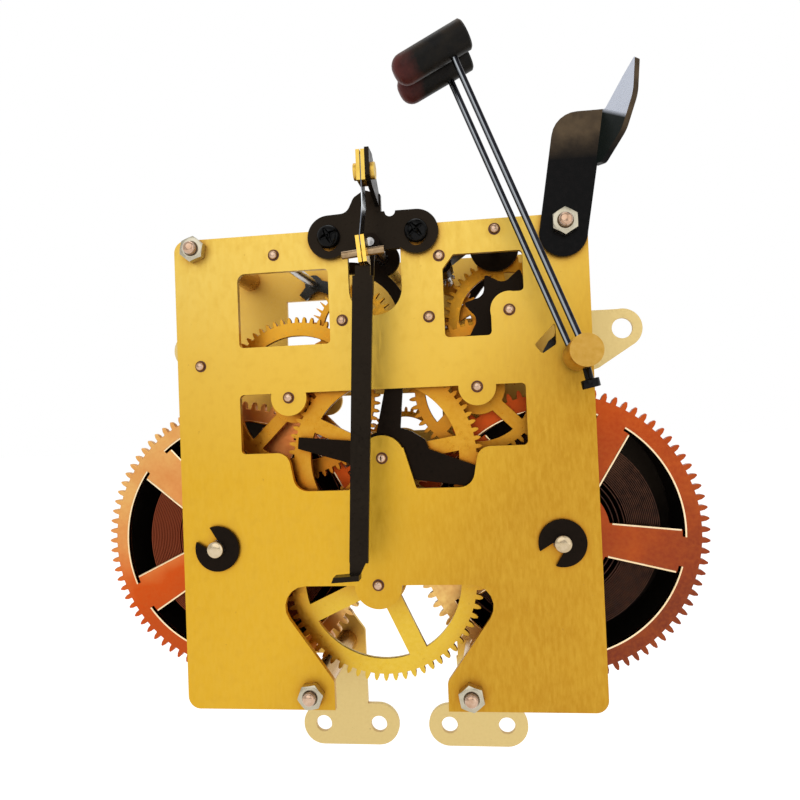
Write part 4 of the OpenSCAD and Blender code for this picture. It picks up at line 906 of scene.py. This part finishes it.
def screw_heads(work):
    for side, turn in SCREW_TURNS:
        at = (side * SCREW_SPAN / 2, SCREW_HEIGHT)
        loops = [circle(at, SCREW_R, -BRACKET, HEAD_STEPS)]
        for k in range(HEAD_RINGS):
            loops.append(head_ring(at, SCREW_R * (1 - k / HEAD_RINGS), math.radians(turn)))
        loops.append([row(*at, -BRACKET - SCREW_RIM - SCREW_DOME + recess(0, 0))])
        rings(work, loops)
        lathe(work, at, [(SHANK_R, SHANK_START), (SHANK_R, SHANK_END - SHANK_CHAMFER[1]),
                         (SHANK_R - SHANK_CHAMFER[0], SHANK_END), (0, SHANK_END)], SHANK_STEPS)


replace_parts(piece("screw_heads", screw_heads, screw_black, "frame"), "suspension_screws")

# Great wheels: bright drawn edges round the openings; the section steps into the metal and in depth
GREAT_FACE = 14.6
GREAT_RIM = 30.8
GREAT_HUB = 13.0
SPOKES = 5
TIME_TURN = 209
STRIKE_TURN = -10
SPOKE_HALF = (3.4, 5.4)
SPOKE_SHORT = 1.4
SLIT = 1.8
ARC_STEPS = 40
SPOKE_STEPS = 8
EDGE = ((0.42, 0.02), (0.32, -0.10), (0.10, -0.13), (-0.05, -0.06),
        (-0.08, 0.1), (-0.08, 1.2), (0.06, 1.2), (0.06, 0.1))


def polar(radius, angle):
    return Vector((radius * math.cos(angle), radius * math.sin(angle)))


def edge_strip(work, at, line):
    """A rounded edge along a line of places, each with the way into the metal."""
    loops = []
    for spot, into in line:
        loops.append([row(at[0] + spot.x + into.x * side, at[1] + spot.y + into.y * side, GREAT_FACE + deep)
                      for side, deep in EDGE])
    rings(work, loops)


def opening_edges(at, turn):
    """Builds the edges of one wheel's openings: its rim's arcs and both sides of each spoke."""
    def build(work):
        step = 2 * math.pi / SPOKES
        half = math.asin((SPOKE_HALF[1] - SLIT) / GREAT_RIM)
        for i in range(SPOKES):
            middle = math.radians(turn) + i * step
            arc = [middle + half + (step - 2 * half) * k / ARC_STEPS for k in range(ARC_STEPS + 1)]
            edge_strip(work, at, [(polar(GREAT_RIM, t), polar(1, t)) for t in arc])
            along_spoke = polar(1, middle)
            for side in (-1, 1):
                over = polar(side, middle + math.pi / 2)
                spots = []
                for k in range(SPOKE_STEPS + 1):
                    reach = GREAT_HUB + (GREAT_RIM - SPOKE_SHORT - GREAT_HUB) * k / SPOKE_STEPS
                    width = SPOKE_HALF[0] + (SPOKE_HALF[1] - SPOKE_HALF[0]) * reach / GREAT_RIM
                    spots.append((along_spoke * reach + over * width, -over))
                edge_strip(work, at, spots)
    return build


piece("time_wheel_edges", opening_edges(TIME_AT, TIME_TURN), lip_brass, "time_barrel")
piece("strike_wheel_edges", opening_edges(STRIKE_AT, STRIKE_TURN), lip_brass, "strike_barrel")

# Mainsprings: the strip's loose turns, closer turns and the last turn out to the drum
STRIP = 0.4
STRIP_SOFT = 0.1
SPRING_FROM = 5.575
CLOSE_FROM = 17.2
CLOSE_TO = 25.4
SPRING_TO = 31.775
LOOSE = 9
CLOSE = 18
LAST = 0.5
SPRING_FRONT = 16.9
SPRING_BACK = 36.9
TURN_STEPS = 72


def spring_radius(turns):
    if turns < LOOSE:
        return SPRING_FROM + (CLOSE_FROM - SPRING_FROM) * turns / LOOSE
    if turns < LOOSE + CLOSE:
        return CLOSE_FROM + (CLOSE_TO - CLOSE_FROM) * (turns - LOOSE) / CLOSE
    return CLOSE_TO + (SPRING_TO - CLOSE_TO) * (turns - LOOSE - CLOSE) / LAST


def mainspring(at, hand):
    """Builds one strip with rounded edges round an arbor."""
    half = STRIP / 2
    flat = half - STRIP_SOFT
    front = SPRING_FRONT + STRIP_SOFT
    back = SPRING_BACK - STRIP_SOFT
    section = [(-half, front), (-flat, SPRING_FRONT), (flat, SPRING_FRONT), (half, front),
               (half, back), (flat, SPRING_BACK), (-flat, SPRING_BACK), (-half, back)]

    def build(work):
        loops = []
        for i in range(int((LOOSE + CLOSE + LAST) * TURN_STEPS) + 1):
            turns = i / TURN_STEPS
            way = polar(1, hand * 2 * math.pi * turns - math.pi / 2)
            r = spring_radius(turns)
            loops.append([row(at[0] + (r + side) * way.x, at[1] + (r + side) * way.y, depth)
                          for side, depth in section])
        rings(work, loops)
    return build


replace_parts(piece("time_spring_coil", mainspring(TIME_AT, 1), spring_steel, "time_barrel"),
            "time_mainspring")
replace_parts(piece("strike_spring_coil", mainspring(STRIKE_AT, -1), spring_steel, "strike_barrel"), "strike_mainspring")

# The suspension ribbon bends between the upper chops and the leader
RIBBON_TOP = 127.3
RIBBON_HALF = 0.1
RIBBON_DEPTH = 2.2
RIBBON_STEPS = 16
CHOPS_RISE = 3.45
CLAMPED = 2.2


def between_chops(rise):
    """A place between the leader's chops, which sit askew on it."""
    return leaning(-rise * math.sin(CHOPS_ASKEW), PIN_HEIGHT + rise * math.cos(CHOPS_ASKEW))


def ribbon(work):
    corners = [(0.0, RIBBON_TOP), (0.0, BEND_HEIGHT), between_chops(CHOPS_RISE),
               between_chops(CHOPS_RISE - CLAMPED)]
    line = []
    for first, second in zip(corners, corners[1:]):
        for i in range(RIBBON_STEPS):
            part = i / RIBBON_STEPS
            line.append((first[0] + (second[0] - first[0]) * part, first[1] + (second[1] - first[1]) * part))
    line.append(corners[-1])
    rings(work, [[row(across + side * RIBBON_HALF, up, LEADER_DEPTH + depth * RIBBON_DEPTH)
                  for side, depth in ((-1, -1), (1, -1), (1, 1), (-1, 1))] for across, up in line])


ribbon_piece = piece("suspension_ribbon", ribbon, ribbon_steel, None, smooth=False)
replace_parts(ribbon_piece, "suspension_spring")
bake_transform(ribbon_piece)

# Floor

FLOOR = -0.150
FLOOR_SIZE = 6
FLOOR_GLOW = 0.72


def white_floor():
    """A pale floor that stays white to the eye and keeps the shadow."""
    material, tree, shader, place = fresh("floor_white")
    tint = spread(tree, noise(tree, place, 4, 2), 0.3, 0.7)
    link(tree, mixed(tree, tint, (0.86, 0.86, 0.86), (0.9, 0.9, 0.9)), shader.inputs["Base Color"])
    shader.inputs["Roughness"].default_value = 0.9
    shader.inputs["Specular IOR Level"].default_value = 0.1
    path = tree.nodes.new("ShaderNodeLightPath")
    seen = path.outputs["Is Camera Ray"]
    for key in ("Is Glossy Ray", "Is Transmission Ray"):
        seen = larger(tree, seen, path.outputs[key])
    shader.inputs["Emission Color"].default_value = (1, 1, 1, 1)
    link(tree, spread(tree, seen, 0, 1, 0.0, FLOOR_GLOW), shader.inputs["Emission Strength"])
    return material


bpy.ops.mesh.primitive_plane_add(size=FLOOR_SIZE, location=(0, 0, FLOOR))
floor = bpy.context.object
floor.name = "floor"
floor.data.materials.append(white_floor())

# World: white to the eye and in reflections, a little darker on the side that the back plate faces
REAR_SHINE = 0.72
DIFFUSE_LIGHT = 0.4


def white_world():
    world = bpy.data.worlds.new("studio")
    world.use_nodes = True
    sky = world.node_tree
    sky.nodes.clear()
    out = sky.nodes.new("ShaderNodeOutputWorld")
    glow = sky.nodes.new("ShaderNodeBackground")
    link(sky, glow.outputs["Background"], out.inputs["Surface"])
    path = sky.nodes.new("ShaderNodeLightPath")
    place = sky.nodes.new("ShaderNodeTexCoord").outputs["Generated"]
    shine = spread(sky, along(sky, place, ORIGIN, INWARD), -0.95, 0.25, REAR_SHINE, 1.0)
    seen = larger(sky, path.outputs["Is Camera Ray"], path.outputs["Is Transmission Ray"])
    glossy = product(sky, path.outputs["Is Glossy Ray"], shine)
    diffuse = spread(sky, path.outputs["Is Diffuse Ray"], 0, 1, 0.0, DIFFUSE_LIGHT)
    glow.inputs["Color"].default_value = (1, 1, 1, 1)
    link(sky, larger(sky, larger(sky, seen, glossy), diffuse), glow.inputs["Strength"])
    return world


bpy.context.scene.world = white_world()

# Lamps

AIM = (0, -0.03, 0)


def lamp(name, place, size, power):
    """A round soft lamp that points at the movement."""
    data = bpy.data.lights.new(name, "AREA")
    data.shape = "DISK"
    data.size = size
    data.energy = power
    thing = bpy.data.objects.new(name, data)
    bpy.context.scene.collection.objects.link(thing)
    thing.location = place
    thing.rotation_euler = (Vector(AIM) - Vector(place)).to_track_quat("-Z", "Y").to_euler()


lamp("key", (-0.2, -0.95, 0.42), 0.95, 2.3)
lamp("fill", (0.6, -0.7, 0.2), 0.9, 1.5)
lamp("top", (0.0, 0.1, 0.9), 0.6, 1.2)

# Camera: place in the drawing, turn from looking straight at the back plate, focal length in pixels
CAMERA_AT = (26.658, 69.250, -170.341)
CAMERA_TURN = Vector((0.019931, 0.041050, 0.127430))
FOCAL = 724.97
PIXELS = 800
SENSOR = 36.0

camera_data = bpy.data.cameras.new("camera")
camera_data.sensor_width = SENSOR
camera_data.lens = FOCAL * SENSOR / PIXELS
camera_data.clip_start = 0.005
camera_data.clip_end = 20
camera = bpy.data.objects.new("camera", camera_data)
bpy.context.scene.collection.objects.link(camera)
straight = Matrix.Rotation(math.pi / 2, 3, "X")
facing = Matrix.Rotation(CAMERA_TURN.length, 3, CAMERA_TURN.normalized()) @ straight
camera.matrix_world = Matrix.Translation(row(*CAMERA_AT)) @ facing.to_4x4()
bpy.context.scene.camera = camera
bpy.context.scene.view_settings.view_transform = "Standard"
